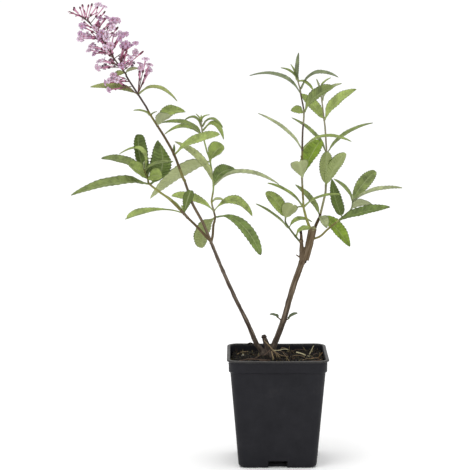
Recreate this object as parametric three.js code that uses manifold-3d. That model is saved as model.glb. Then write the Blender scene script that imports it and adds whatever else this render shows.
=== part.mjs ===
// Young butterfly bush (Buddleja) in a square nursery pot. Millimetres, +Z up, +X right, +Y back.
// The origin is the centre of the pot's flat underside.
import * as THREE from 'three';
import { mergeVertices } from 'three/addons/utils/BufferGeometryUtils.js';
import Module from 'manifold-3d';

const wasm = await Module();
wasm.setup();

// ---- driving sizes ----
const gap = 0.3;               // clearance kept between pieces that rest on each other

const potHeight = 98;
const lipWidth = 90;           // across the outward lip
const lipThick = 1.6;
const collarWidth = 86.6;      // the straight band under the lip
const collarHeight = 11;
const bodyTopWidth = 84;       // just under the collar's step
const bodyFootWidth = 69;
const cornerTop = 9;           // corner radii
const cornerFoot = 6;
const wall = 1.3;
const floorThick = 2;
const footRound = 3;           // rounding between wall and underside
const slotWidth = 17;          // drainage slot low in each side
const slotHeight = 6.5;
const slotDepth = 7;

const soilLevel = 91;          // at the pot's wall
const moundTop = 94;           // flat top of the mound that carries the crown
const moundRise = 7;
const moundSpread = 20;
const moundCentre = [-6, 7];
const rightBank = 2;         // the soil stands higher on the right
const crumbHeight = 0.5;
const soilCorner = 6;          // steps round each corner of the soil
const soilShares = [0.86, 0.7, 0.54, 0.38, 0.22, 0.09]; // rings of the soil's top, as shares of its width

const crownPlace = [-8, 8];    // where the root crown stands in the pot
const burlRadius = 9;          // knotty foot of the plant
const burlHeight = 5.6;

const woodSides = 8;           // facets round a stem, a bough and a twig
const twigSides = 5;
const leafSlim = 0.2;          // leaf width as a share of its length
const leafFold = 0.16;         // how far the two halves lift, as a share of the width
const leafThickShare = 1 / 60; // leaf thickness as a share of its length
const leafThickLeast = 0.7;
const petioleWidth = 1.2;
const ribShare = 0.7;          // share of the thickness that stands out below, as the midrib
const petioleShare = 0.07;     // share of the length before the blade opens
const bladeSkew = 0.85;        // under 1, the widest place and the bend's crown lie nearer the foot
const bladeFullness = 0.65;
const floretTube = 9;
const floretFace = 3.6;        // from the throat to a lobe's tip
const calyxRadius = 0.95;
const tubeRadius = 0.7;
const calyxShare = 0.25;       // the calyx's end and the throat, as shares of the tube's length
const throatShare = 0.92;
const floretRise = 0.3;        // how far the florets of a bunch turn up to the light

const colours = {
  potBlack: [0x2b2c30, 0.55],
  soilBrown: [0x2e241c, 1],
  oldWood: [0x6b5746, 0.9],
  youngWood: [0x7a6450, 0.8],
  leafGreen: [0x6f8f45, 0.7],
  blossom: [0xb892c2, 0.7],
};

// ---- seeded chance ----
function chance(seed) {
  let state = seed;
  return (low, high) => {
    state = (state * 16807) % 2147483647;
    return low + (high - low) * (state / 2147483647);
  };
}

// ---- small vector helpers ----
const up = new THREE.Vector3(0, 0, 1);
const front = new THREE.Vector3(0, -1, 0);
const vec = (a) => new THREE.Vector3(...a);
const degrees = Math.PI / 180;
const fullTurn = 2 * Math.PI;

function reach(heading, out, rise) {
  return new THREE.Vector3(out * Math.cos(heading * degrees), out * Math.sin(heading * degrees), rise);
}

function middleOf(points) {
  return points.reduce((sum, p) => sum.add(p), new THREE.Vector3()).divideScalar(points.length);
}

// ---- solids ----
function toSolid(geometry) {
  geometry.deleteAttribute('normal');
  geometry.deleteAttribute('uv');
  const merged = mergeVertices(geometry, 1e-4);
  const mesh = new wasm.Mesh({
    numProp: 3,
    vertProperties: new Float32Array(merged.attributes.position.array),
    triVerts: new Uint32Array(merged.index.array),
  });
  return new wasm.Manifold(mesh);
}

function toGeometry(solid) {
  const mesh = solid.getMesh();
  const geometry = new THREE.BufferGeometry();
  geometry.setAttribute('position', new THREE.BufferAttribute(mesh.vertProperties, 3));
  geometry.setIndex(new THREE.BufferAttribute(mesh.triVerts, 1));
  geometry.computeVertexNormals();
  return geometry;
}

// A closed skin through rings of equal count, ended at both ends by a point, its faces turned out.
function loft(rings, startPoint, endPoint) {
  const count = rings[0].length;
  const points = [startPoint, ...rings.flat(), endPoint];
  const last = points.length - 1;
  const index = [];
  for (let k = 0; k < count; k += 1) {
    const next = (k + 1) % count;
    index.push(0, 1 + next, 1 + k);
    index.push(last, last - count + k, last - count + next);
    for (let ring = 0; ring < rings.length - 1; ring += 1) {
      const a = 1 + ring * count;
      const b = a + count;
      index.push(a + k, a + next, b + next, a + k, b + next, b + k);
    }
  }
  const geometry = new THREE.BufferGeometry().setFromPoints(points);
  geometry.setIndex(index);
  const solid = toSolid(geometry);
  if (solid.volume() > 0) {
    return solid;
  }
  geometry.setIndex(index.reverse());
  return toSolid(geometry);
}

// The largest single body of a solid: a loose scrap or a sealed hollow falls away.
function oneBody(solid) {
  const bodies = solid.decompose().sort((a, b) => b.volume() - a.volume());
  return bodies[0];
}

const fuse = (solids) => oneBody(wasm.Manifold.union(solids));

function clearOf(solid, limbs) {
  return oneBody(limbs.reduce((rest, limb) => rest.subtract(limbSolid(limb, gap)), solid));
}

// ---- limbs ----
// A limb starts at a foot and takes one step for each internode: right, back and up.
const usualLimb = { sides: twigSides, swell: 1.25, nodes: [], flare: 1 };

function limb(foot, steps, thick, options = {}) {
  const knots = [foot.clone()];
  for (const step of steps) {
    knots.push(knots.at(-1).clone().add(vec(step)));
  }
  const curve = new THREE.CatmullRomCurve3(knots, false, 'catmullrom', 0.5);
  return { ...usualLimb, ...options, curve, thick, count: steps.length };
}

const pointAt = (stem, node) => stem.curve.getPoint(node / stem.count);
const tipOf = (stem) => pointAt(stem, stem.count);

// Thickness falls evenly from foot to tip, swells at the nodes and flares at a rooted foot.
function thickAt(stem, node) {
  const share = node / stem.count;
  const even = stem.thick[0] + (stem.thick[1] - stem.thick[0]) * share;
  const swollen = stem.nodes.some((n) => Math.abs(n - node) < 0.01) ? stem.swell : 1;
  return even * swollen * (1 + (stem.flare - 1) * Math.exp(-8 * share));
}

function limbSolid(stem, grow = 0) {
  const stations = [];
  const near = Math.min(0.12, 0.3 / stem.count);
  for (let node = 0; node <= stem.count; node += stem.count > 1 ? 0.5 : 1) {
    stations.push(node);
  }
  for (const node of stem.nodes) {
    stations.push(node - near, node, node + near);
  }
  const inside = [...new Set(stations)].filter((n) => n >= 0 && n <= stem.count).sort((a, b) => a - b);
  const rings = inside.map((node) => {
    const centre = pointAt(stem, node);
    const along = stem.curve.getTangent(node / stem.count);
    if (grow > 0 && (node === 0 || node === stem.count)) {
      centre.addScaledVector(along, node === 0 ? -grow : grow);
    }
    const side = new THREE.Vector3().crossVectors(along, front).normalize();
    const over = new THREE.Vector3().crossVectors(along, side).normalize();
    const radius = thickAt(stem, node) / 2 + grow;
    return Array.from({ length: stem.sides }, (_, k) => {
      const angle = (fullTurn * k) / stem.sides;
      const point = centre.clone().addScaledVector(side, radius * Math.cos(angle));
      return point.addScaledVector(over, radius * Math.sin(angle));
    });
  });
  return loft(rings, middleOf(rings[0]), middleOf(rings.at(-1)));
}

// ---- leaves ----
// Each leaf: [node, heading, out, rise, arch, show, width]. The tip lies "out" along the heading
// (degrees, 0 = right, 90 = back) and "rise" above the node. "arch" is the crown of its curve and
// "width" its breadth, both as a share of the length. "show" tips the upper side to the front.
const longLeaf = [0.09, 0.18, 0.36, 0.58, 0.8, 0.95];  // stations along the blade
const shortLeaf = [0.12, 0.35, 0.65, 0.9];
const shortLength = 18;
const rootedDepth = 1;         // how far a leaf at the very tip is rooted below it

function leafBreadth(t) {
  const blade = Math.max(0, (t - petioleShare) / (1 - petioleShare));
  return Math.sin(Math.PI * blade ** bladeSkew) ** bladeFullness;
}

function leaf(stem, [node, heading, out, rise, arch = 0.1, show = 0, slim = leafSlim]) {
  const root = pointAt(stem, node);
  if (node === stem.count) {
    root.addScaledVector(stem.curve.getTangent(1), -rootedDepth);
  }
  const chord = reach(heading, out, rise);
  const length = chord.length();
  const along = chord.clone().normalize();
  const lift = up.clone().addScaledVector(along, -up.dot(along)).normalize();
  const side = new THREE.Vector3().crossVectors(along, lift);
  const turn = show * degrees * (side.dot(front) >= 0 ? -1 : 1);
  const across = side.clone().multiplyScalar(Math.cos(turn)).addScaledVector(lift, Math.sin(turn));
  const thick = Math.max(leafThickLeast, length * leafThickShare);
  const centre = (t) => {
    const bow = 4 * arch * length * t ** bladeSkew * (1 - t ** bladeSkew);
    return root.clone().addScaledVector(along, length * t).addScaledVector(lift, bow);
  };
  const rings = (length < shortLength ? shortLeaf : longLeaf).map((t) => {
    const tangent = centre(t + 0.01).sub(centre(t - 0.01)).normalize();
    const face = new THREE.Vector3().crossVectors(across, tangent).normalize();
    const half = Math.max(petioleWidth, slim * length * leafBreadth(t)) / 2;
    const edge = half * 2 * leafFold;
    const middle = centre(t);
    return [
      middle.clone().addScaledVector(across, half).addScaledVector(face, edge),
      middle.clone().addScaledVector(face, thick * (1 - ribShare)),
      middle.clone().addScaledVector(across, -half).addScaledVector(face, edge),
      middle.clone().addScaledVector(face, -thick * ribShare),
    ];
  });
  return loft(rings, root, centre(1));
}

// ---- flowers ----
// A floret: a slim tube from its calyx that opens into a face of four lobes.
function floret(root, direction, length) {
  const along = direction.clone().normalize();
  const side = new THREE.Vector3().crossVectors(along, up).normalize();
  const over = new THREE.Vector3().crossVectors(side, along).normalize();
  const ring = (far, radius) => [side, over, side, over].map((axis, k) => {
    const point = root.clone().addScaledVector(along, far);
    return point.addScaledVector(axis, k < 2 ? radius : -radius);
  });
  const rings = [
    ring(length * calyxShare, calyxRadius),
    ring(length * throatShare, tubeRadius),
    ring(length, floretFace),
  ];
  return loft(rings, root.clone(), root.clone().addScaledVector(along, length + 0.4));
}

// A bunch of florets spread round the tip of a short stalk.
function bunch(foot, stalk, count, spread, random) {
  const stem = limb(foot, [stalk.toArray()], [1.3, 1], { sides: 3 });
  const tip = tipOf(stem).addScaledVector(stalk.clone().normalize(), -0.5);
  const along = stalk.clone().normalize();
  const side = new THREE.Vector3().crossVectors(along, front).normalize();
  const over = new THREE.Vector3().crossVectors(along, side).normalize();
  const florets = Array.from({ length: count }, (_, k) => {
    const angle = (fullTurn * (k + random(-0.25, 0.25))) / count;
    const fan = spread * (k === 0 ? 0.25 : random(0.75, 1.1));
    const direction = along.clone().addScaledVector(side, fan * Math.cos(angle));
    direction.addScaledVector(over, fan * Math.sin(angle)).addScaledVector(up, floretRise);
    const root = tip.clone().addScaledVector(along, -k);
    return floret(root, direction, floretTube * random(0.85, 1.1));
  });
  return [limbSolid(stem), ...florets];
}

function bud(root, direction, length) {
  const stem = limb(root, [direction.clone().setLength(length * 0.6).toArray()], [1.5, 2], { sides: 4 });
  return limbSolid(stem);
}

// ---- the pot and its soil ----
function squareRing(width, corner, z, perCorner = 4) {
  const ring = [];
  const inset = width / 2 - corner;
  for (let quarter = 0; quarter < 4; quarter += 1) {
    const turn = (quarter * Math.PI) / 2;
    const centre = new THREE.Vector3(inset, inset, 0).applyAxisAngle(up, turn);
    for (let k = 0; k <= perCorner; k += 1) {
      const angle = turn + ((k / perCorner) * Math.PI) / 2;
      const x = centre.x + corner * Math.cos(angle);
      const y = centre.y + corner * Math.sin(angle);
      ring.push(new THREE.Vector3(x, y, z));
    }
  }
  return ring;
}

const collarFoot = potHeight - collarHeight;
const potWidthAt = (z) => bodyFootWidth + ((bodyTopWidth - bodyFootWidth) * z) / collarFoot;
const potCornerAt = (z) => cornerFoot + ((cornerTop - cornerFoot) * z) / potHeight;

// Width, corner radius and height of each ring, up the outside, over the lip and down the inside.
function makePot() {
  const inner = 2 * wall;
  const sections = [
    [potWidthAt(0) - 2 * footRound, cornerFoot - footRound / 2, 0],
    [potWidthAt(0) - 0.5 * footRound, cornerFoot, footRound * 0.3],
    [potWidthAt(footRound), cornerFoot, footRound],
    [bodyTopWidth, cornerTop - 1, collarFoot - 0.8],
    [collarWidth, cornerTop, collarFoot],
    [collarWidth + 0.4, cornerTop, potHeight - lipThick - 0.4],
    [lipWidth - 0.4, cornerTop + 1.6, potHeight - lipThick],
    [lipWidth, cornerTop + 1.8, potHeight - lipThick / 2],
    [lipWidth - 0.8, cornerTop + 1.5, potHeight],
    [collarWidth - inner + 0.6, cornerTop - wall, potHeight],
    [collarWidth - inner, cornerTop - wall, potHeight - lipThick],
    [collarWidth - inner, cornerTop - wall, collarFoot + 0.6],
    [bodyTopWidth - inner, cornerTop - 1 - wall, collarFoot - 0.8],
    [potWidthAt(floorThick + 1) - inner, cornerFoot - wall, floorThick + 1],
    [potWidthAt(0) - inner - 2, cornerFoot - wall, floorThick],
  ];
  const rings = sections.map(([width, corner, z]) => squareRing(width, corner, z));
  let pot = loft(rings, new THREE.Vector3(0, 0, 0), new THREE.Vector3(0, 0, floorThick));
  for (let quarter = 0; quarter < 4; quarter += 1) {
    const slot = new THREE.BoxGeometry(slotWidth, slotDepth * 2, slotHeight * 2);
    slot.translate(0, -bodyFootWidth / 2, 0);
    slot.rotateZ((quarter * Math.PI) / 2);
    pot = pot.subtract(toSolid(slot));
  }
  return oneBody(pot);
}

function soilHeight(x, y) {
  const far = Math.hypot(x - moundCentre[0], y - moundCentre[1]);
  const mound = moundRise * Math.exp(-((far / moundSpread) ** 2));
  const bank = rightBank * THREE.MathUtils.smoothstep(x, 8, 38);
  const crumbs = crumbHeight * Math.sin(x * 0.9 + y * 0.35) * Math.cos(y * 0.7 - x * 0.2);
  return Math.min(moundTop, soilLevel + mound + bank + crumbs);
}

function makeSoil() {
  const clear = 2 * (wall + gap);
  const low = floorThick + 1 + gap;
  const width = (z) => potWidthAt(z) - clear;
  const top = width(soilLevel - 2);
  const corner = cornerTop - wall;
  const rings = [
    squareRing(width(low) - 4, potCornerAt(low) - wall, floorThick + gap, soilCorner),
    squareRing(width(low) - 1, potCornerAt(low) - wall, low, soilCorner),
    squareRing(top, corner, soilLevel - 1.5, soilCorner),
  ];
  for (const share of soilShares) {
    const ring = squareRing(top * share, corner * share, 0, soilCorner);
    ring.forEach((p) => p.setZ(soilHeight(p.x, p.y)));
    rings.push(ring);
  }
  return loft(rings, new THREE.Vector3(0, 0, floorThick + gap), new THREE.Vector3(0, 0, soilHeight(0, 0)));
}

// ---- wood: crown, stems and boughs ----
const crownFoot = vec([...crownPlace, moundTop - 2]);
const leftButt = limb(crownFoot, [[-5, 0, 4.5], [-5.5, -0.5, 7.5]], [7, 4.2], { sides: woodSides });
const rightButt = limb(crownFoot, [[3.2, 0, 5.5], [2.4, 0, 6]], [8, 5.6], { sides: woodSides });
const oldStub = limb(vec([...crownPlace, moundTop]), [[-0.6, 0, 6.5], [-3.4, -0.4, 10.5]], [5, 3.1], {
  sides: woodSides, nodes: [2],
});

// One ring of the burl: round, with a few soft lobes.
function burlRing(radius, z) {
  return Array.from({ length: 12 }, (_, k) => {
    const angle = (fullTurn * k) / 12;
    const lobe = radius * (1 + 0.14 * Math.cos(3 * angle + 1) + 0.08 * Math.sin(5 * angle));
    const x = crownFoot.x + lobe * Math.cos(angle);
    return new THREE.Vector3(x, crownFoot.y + lobe * 0.85 * Math.sin(angle), z);
  });
}

function makeCrown() {
  const seat = moundTop + gap;
  const levels = [[1, 0], [0.9, 0.2], [0.65, 0.6], [0.4, 0.9]];
  const burl = loft(
    levels.map(([share, height]) => burlRing(burlRadius * share, seat + burlHeight * height)),
    crownFoot.clone().setZ(seat),
    crownFoot.clone().setZ(seat + burlHeight),
  );
  const above = new THREE.BoxGeometry(lipWidth, lipWidth, potHeight);
  above.translate(0, 0, seat + potHeight / 2);
  const whole = fuse([burl, limbSolid(leftButt), limbSolid(rightButt), limbSolid(oldStub)]);
  return oneBody(whole.intersect(toSolid(above)));
}

const leftStem = limb(
  tipOf(leftButt),
  [[-9, -2.5, 21.5], [-9, -2, 18.5], [-12, -2, 27], [-11, -1, 27]],
  [4, 2.9],
  { sides: woodSides, nodes: [1, 3], swell: 1.12, flare: 1.15 },
);
const rightStem = limb(
  tipOf(rightButt),
  [[7.9, -1.5, 21.5], [5, -2, 18.5], [4, -1.5, 14], [6.5, -1.5, 19], [3, -0.5, 7]],
  [4.9, 5.6],
  { sides: woodSides, nodes: [1, 4.2], swell: 1.16, flare: 1.1 },
);
const forkSpur = limb(pointAt(rightStem, 4.85), [[-3.5, -1, 1], [-3.5, -1, 2.5]], [1.6, 1.1]);

const flowerBough = limb(
  tipOf(leftStem),
  [[-7, -1.5, 17], [-8.5, -2, 16], [-3.5, -1, 10], [-4, -1, 12]],
  [2.7, 2.2],
  { nodes: [3], swell: 1.15 },
);
const westBough = limb(tipOf(leftStem), [[-12, -5, 13.5], [-8.5, -4, 9]], [2.5, 2]);
const middleBough = limb(
  pointAt(leftStem, 3.96),
  [[1.5, 2.5, 6.5], [0.5, 3, 8], [1, 1.5, 3.5]],
  [2.4, 2],
  { nodes: [2], swell: 1.15 },
);
const thickArm = limb(
  tipOf(rightStem).add(vec([0.9, 0, -1])),
  [[2.6, -0.5, 12.5], [3, -0.5, 14.5]],
  [5.2, 5.4],
  { sides: woodSides, nodes: [1.1], swell: 1.05 },
);
const shortArm = limb(
  tipOf(rightStem).add(vec([-1.9, 0, -1])),
  [[-0.5, -0.5, 8], [-0.4, -0.5, 7.5], [-0.5, 0, 10]],
  [3.2, 2],
  { sides: 6, nodes: [2], swell: 1.5 },
);
const innerBough = limb(
  pointAt(thickArm, 1.94).add(vec([-1.8, -0.6, 0])),
  [[-3.5, -4, 9], [-2.5, -3, 9]],
  [2.6, 2.1],
);
const outerBough = limb(
  pointAt(thickArm, 1.9).add(vec([1.6, 1, 0])),
  [[1.8, 1.5, 4.5], [2.5, 2.5, 5]],
  [3, 2.6],
);
const sideBough = limb(pointAt(thickArm, 1.3), [[8.5, -3, 3.5], [6.5, -3, 6.5], [7.5, -2, 6.5]], [2, 1.7]);

// ---- leafy shoots ----
// Every shoot grows on from its bough's tip: its internodes, its leaves and its thickness.
const shoots = {
  west_shoot: {
    on: [westBough],
    steps: [
      [-2.5, -1.5, 3], [-12.5, -6, 13.5], [-9.5, -4, 7.5], [-8, -3.5, 7], [-1.7, -1, 5], [-3, -1.5, 8],
    ],
    thick: [1.9, 1.1],
    leaves: [
      [1, 150, 61, -5, 0.01, 42, 0.2], [1, 285, 15, 22, 0.05, 0, 0.36],
      [1, 158, 20, 17, 0.04, 4, 0.17], [1, 110, 8, 7, 0.1, 0, 0.31], [4, 212, 77, -7, 0.06, 27, 0.15],
      [4, 42, 12, 34, -0.22, 25, 0.46], [5, 215, 20, 14, 0.05, 0, 0.55], [5, 322, 16, -3, 0.1, 0, 0.6],
      [5.4, 145, 50, 12, 0.1, 32, 0.17], [5.6, 110, 20, 31, 0.02, 0, 0.28],
      [5.7, 152, 28, 15, 0.38, 10, 0.15], [5, 45, 8, 13, 0.1, 0, 0.25], [6, 30, 6, 6, 0.1, 0, 0.22],
    ],
  },
  flower_shoot: {
    on: [flowerBough],
    steps: [
      [-1.5, -0.5, 3], [-7.5, -1, 20], [-8, -1.5, 15], [-6.5, -1, 10.5], [-6, -0.5, 9.5], [-4, -0.5, 6.5],
    ],
    thick: [2.1, 1.8],
    leaves: [
      [2, 90, 3, 9, 0, 0, 0.24], [2, 320, 53, 20, 0.07, 35, 0.14], [4, 40, 31, 11, 0.21, 50, 0.34],
      [4, 300, 17, 11, 0.1, 0, 0.55], [5, 185, 15, 4, 0.12, 4, 0.24], [5, 10, 6, 3, 0.1, 0, 0.3],
    ],
  },
  middle_shoot_low: {
    on: [middleBough],
    steps: [[0.5, 1.5, 3.5], [-1.1, 2.5, 5], [-2, 5, 8.5], [1.5, 7, 13.5], [-3, 8, 21], [-3, 3, 9]],
    thick: [1.9, 1.5],
    leaves: [
      [1, 318, 53, -29, 0.18, 45, 0.17], [1, 138, 17, -29, 0.14, -10, 0.55],
      [2, 150, 44, 10, 0.1, 35, 0.19], [2, 38, 41, -8, 0.27, 45, 0.2], [3, 350, 12, 1, 0.15, 25, 0.28],
      [4, 150, 41, 37, 0.14, 40, 0.14], [4, 45, 26, 14, 0.22, 30, 0.35],
      [4, 318, 78, 6, 0.155, 15, 0.1], [5, 322, 18, 16, 0.08, 0, 0.5],
      [5, 152, 64, -37, 0.1, -50, 0.19],
    ],
  },
  middle_shoot_top: {
    on: ['middle_shoot_low'],
    steps: [[-3.5, 4, 13.5], [-1.3, 2, 8], [-0.5, 1, 5]],
    thick: [1.5, 1.2],
    leaves: [
      [1, 205, 41, 13, 0.17, 12, 0.15], [1, 150, 40, -1, 0.18, 20, 0.16],
      [1.5, 328, 23, -7, 0.44, 12, 0.17], [2, 152, 21, 3, 0.35, 5, 0.15],
      [2, 332, 22, 0, 0.35, 5, 0.15], [3, 170, 5, 8, 0.1, 20, 0.24], [3, 8, 8, 7, 0.25, 15, 0.2],
      [3, 90, 3, 7, 0, 0, 0.27],
    ],
  },
  crossing_shoot: {
    on: [shortArm],
    at: [shortArm, 1.8],
    steps: [[-5.5, -4, 6.5], [-6, -5, 8.5], [-3, -3, 5.5], [0, -2, 4]],
    thick: [1.9, 1.3],
    leaves: [
      [1, 318, 17, 8, 0.17, 25, 0.28], [2, 210, 36, 22, 0.06, 3, 0.11], [2, 38, 27, 3, 0.2, 22, 0.16],
      [4, 160, 18, 21, 0.08, 60, 0.34], [4, 300, 12, 11, 0.1, 0, 0.55],
    ],
  },
  inner_shoot_low: {
    on: [innerBough],
    steps: [[-0.6, -1.5, 3.5], [-1.2, -5, 17], [-0.5, -2.5, 9], [-0.1, -3, 12]],
    thick: [2, 1.8],
    leaves: [
      [1, 216, 40, 23, 0.11, 10, 0.13], [1, 325, 39, 13, 0.09, 2, 0.11], [1, 180, 8, -2, 0.1, 0, 0.28],
      [3, 245, 15, 15, 0.05, 0, 0.55], [3, 54, 28, 31, 0.06, 10, 0.31],
    ],
  },
  inner_shoot_top: {
    on: ['inner_shoot_low'],
    steps: [[0, -2, 13.5], [0.4, -3, 15.5], [0.5, -3, 17], [-3, -2, 14.5], [-1, -1, 5.5], [-2.5, -1, 9]],
    thick: [1.8, 1.2],
    leaves: [
      [1, 147, 46, 29, 0.09, 8, 0.11], [1, 324, 51, 9, 0.16, 8, 0.1], [3, 322, 43, 27, 0.12, 48, 0.21],
      [3, 205, 14, 3, 0.1, 35, 0.6], [5, 145, 54, 10, 0.18, 8, 0.1], [5, 325, 39, 11, 0.25, 8, 0.13],
      [6, 30, 2, 24, 0.02, -20, 0.2], [6, 150, 5, 12, 0.05, 0, 0.2], [6, 190, 14, 10, 0.14, 12, 0.24],
      [6, 335, 15, -9, 0.14, 12, 0.22],
    ],
  },
  outer_shoot_low: {
    on: [outerBough],
    steps: [[1, 1, 2.5], [2.5, 3.5, 9.5], [2.5, 3.5, 10], [0.6, 2.5, 6.5], [1, 5, 17.5], [-0.1, 1.5, 4]],
    thick: [2.2, 1.8],
    leaves: [
      [1, 147, 24, 25, 0.15, 20, 0.16], [1, 42, 39, -31, 0.13, 45, 0.21],
      [1, 300, 12, -9, 0.15, 0, 0.4], [4, 272, 9, 31, 0.05, 0, 0.37],
      [4, 332, 19, 30, 0.05, -35, 0.36], [4, 95, 24, 20, 0.08, 0, 0.26],
    ],
  },
  outer_shoot_top: {
    on: ['outer_shoot_low'],
    steps: [[0, 2, 6.5], [-1.2, 5, 22], [-0.8, 2, 7.5], [-2, 4, 17], [-1.7, 3, 12]],
    thick: [1.8, 1.2],
    leaves: [
      [1, 145, 38, 31, 0.1, 8, 0.12], [1, 37, 55, 23, 0.1, 8, 0.1], [3, 146, 24, 20, 0.08, 50, 0.27],
      [3, 335, 31, 27, 0.1, 50, 0.24], [5, 185, 2, 8, 0, 20, 0.34], [5, 8, 10, 10, 0.12, 10, 0.2],
    ],
  },
  side_shoot: {
    on: [sideBough],
    steps: [[2, -1, 2], [6, -3, 5.5], [5, -2.5, 5.5], [1.1, -1, 8]],
    thick: [1.6, 1.2],
    leaves: [
      [1, 106, 19, 32, 0.06, 10, 0.29], [1, 325, 53, 16, 0.05, 35, 0.16],
      [3, 330, 22, 3, 0.25, -8, 0.3], [4, 38, 28, 24, 0.05, 55, 0.26],
      [4, 322, 52, 15, 0.11, 10, 0.11], [4, 150, 19, 17, 0.08, 5, 0.14], [4, 100, 1, 6, 0, 0, 0.31],
    ],
  },
  sprig_left: {
    on: [rightStem],
    at: [rightStem, 1],
    steps: [[-3.5, -1, 2.2], [-1.5, -0.5, 2]],
    thick: [1.3, 1],
    leaves: [[2, 182, 8, 3, 0.12, 10, 0.28], [2, 240, 4, 4, 0.1, 0, 0.34]],
  },
  sprig_right: {
    on: [rightStem],
    at: [rightStem, 1.05],
    steps: [[3.2, -1, 0.6], [1.2, -0.5, 1.2]],
    thick: [1.3, 1],
    leaves: [[2, 355, 9, 5.5, 0.1, 15, 0.3], [2, 300, 4, 3, 0.1, 0, 0.34]],
  },
};

function growShoot(plan) {
  const from = plan.on.map((parent) => (typeof parent === 'string' ? shoots[parent].stem : parent));
  const foot = plan.at ? pointAt(...plan.at) : tipOf(from[0]);
  const nodes = [...new Set(plan.leaves.map(([node]) => node))].filter((node) => node < plan.steps.length);
  plan.stem = limb(foot, plan.steps, plan.thick, { nodes });
  return clearOf(fuse([limbSolid(plan.stem), ...plan.leaves.map((row) => leaf(plan.stem, row))]), from);
}

// ---- the flower head ----
const footSteps = [[-7, -1, 11], [-7, -1.5, 11], [-3, 0, 5]];
const footBracts = [[1, 165, 44, 5, 0.13, 15, 0.13], [1, 345, 36, -5, 0.3, 6, 0.14]];
const footBunches = [             // heading, out and rise of the stalk, florets, spread
  [60, 3, 19, 4, 0.6], [202, 16, 8, 5, 0.6], [330, 7, 14, 3, 0.5],
];
const headSteps = [[-1, -0.5, 2.5], [-10.5, -1, 14], [-10, -1, 16], [-12, -1, 15.5], [-15.5, -1, 8]];
const headBracts = [[1, 5, 11, 4, 0.1, 25, 0.3], [1, 168, 11, -4, 0.1, 30, 0.34]];
const whorls = 12;             // pairs of flower bunches up the axis
const whorlFirst = 1.15;       // in steps from the foot
const whorlLast = 4.3;
const floretsLow = 4.4;        // florets to a bunch, lowest and highest
const floretsHigh = 1.4;
const lowestReach = 16.5;      // stalk of the lowest bunches
const highestReach = 3;
const lightward = 0.3;         // how much further the bunches on the upper side reach
const headSpread = 0.75;
const budNodes = [4.6, 4.75, 4.9, 5];
const budLength = 3.2;

function growPanicleFoot(foot) {
  const stem = limb(foot, footSteps, [1.8, 1.6], { nodes: [1] });
  const random = chance(41);
  const solids = [limbSolid(stem), ...footBracts.map((row) => leaf(stem, row))];
  for (const [heading, out, rise, count, spread] of footBunches) {
    solids.push(...bunch(pointAt(stem, 1), reach(heading, out, rise), count, spread, random));
  }
  return { stem, solids };
}

function growPanicle(foot) {
  const stem = limb(foot, headSteps, [1.6, 1], { nodes: [1] });
  const random = chance(97);
  const solids = [limbSolid(stem), ...headBracts.map((row) => leaf(stem, row))];
  for (let whorl = 0; whorl < whorls; whorl += 1) {
    const share = whorl / (whorls - 1);
    const node = whorlFirst + (whorlLast - whorlFirst) * share ** 0.9;
    const along = stem.curve.getTangent(node / stem.count);
    const side = new THREE.Vector3().crossVectors(along, front).normalize();
    const over = new THREE.Vector3().crossVectors(along, side).normalize();
    const count = Math.round(floretsLow + (floretsHigh - floretsLow) * share);
    const stalkLength = lowestReach + (highestReach - lowestReach) * share ** 1.7;
    for (const pair of [0, 1]) {
      const angle = (whorl % 2) * (Math.PI / 2) + pair * Math.PI + random(-0.3, 0.3);
      const outward = side.clone().multiplyScalar(Math.cos(angle)).addScaledVector(over, Math.sin(angle));
      const lean = 1 + lightward * outward.z;
      const stalk = outward.addScaledVector(along, 0.35).addScaledVector(up, 0.4);
      stalk.setLength(stalkLength * lean * random(0.75, 1.15));
      solids.push(...bunch(pointAt(stem, node), stalk, count, headSpread, random));
    }
  }
  for (const node of budNodes) {
    solids.push(bud(pointAt(stem, node), reach(random(90, 270), 3, random(-1, 3)), budLength));
  }
  return { stem, solids };
}

// ---- assembly ----
const bush = new THREE.Group();

function add(name, solid, colour) {
  const [color, roughness] = colours[colour];
  const finish = new THREE.MeshStandardMaterial({ color, roughness, metalness: 0 });
  const mesh = new THREE.Mesh(toGeometry(solid), finish);
  mesh.name = name;
  bush.add(mesh);
}

add('pot', makePot(), 'potBlack');
add('soil', makeSoil(), 'soilBrown');
add('root_crown', makeCrown(), 'oldWood');
add('left_stem', clearOf(limbSolid(leftStem), [leftButt]), 'oldWood');
add('right_stem', clearOf(fuse([limbSolid(rightStem), limbSolid(forkSpur)]), [rightButt]), 'oldWood');
add('flower_bough', clearOf(limbSolid(flowerBough), [leftStem]), 'youngWood');
add('west_bough', clearOf(limbSolid(westBough), [leftStem, flowerBough]), 'youngWood');
add('middle_bough', clearOf(limbSolid(middleBough), [leftStem, flowerBough, westBough]), 'youngWood');
add('thick_arm', clearOf(limbSolid(thickArm), [rightStem]), 'oldWood');
add('short_arm', clearOf(limbSolid(shortArm), [rightStem, forkSpur, thickArm]), 'oldWood');
add('inner_bough', clearOf(limbSolid(innerBough), [thickArm]), 'youngWood');
add('outer_bough', clearOf(limbSolid(outerBough), [thickArm, innerBough]), 'youngWood');
add('side_bough', clearOf(limbSolid(sideBough), [thickArm]), 'youngWood');
for (const [name, plan] of Object.entries(shoots)) {
  add(name, growShoot(plan), 'leafGreen');
}
const flowerFoot = growPanicleFoot(tipOf(shoots.flower_shoot.stem));
add('panicle_foot', clearOf(fuse(flowerFoot.solids), [shoots.flower_shoot.stem]), 'blossom');
const flowerHead = growPanicle(tipOf(flowerFoot.stem));
add('panicle', clearOf(fuse(flowerHead.solids), [flowerFoot.stem]), 'blossom');

export default bush;
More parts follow.
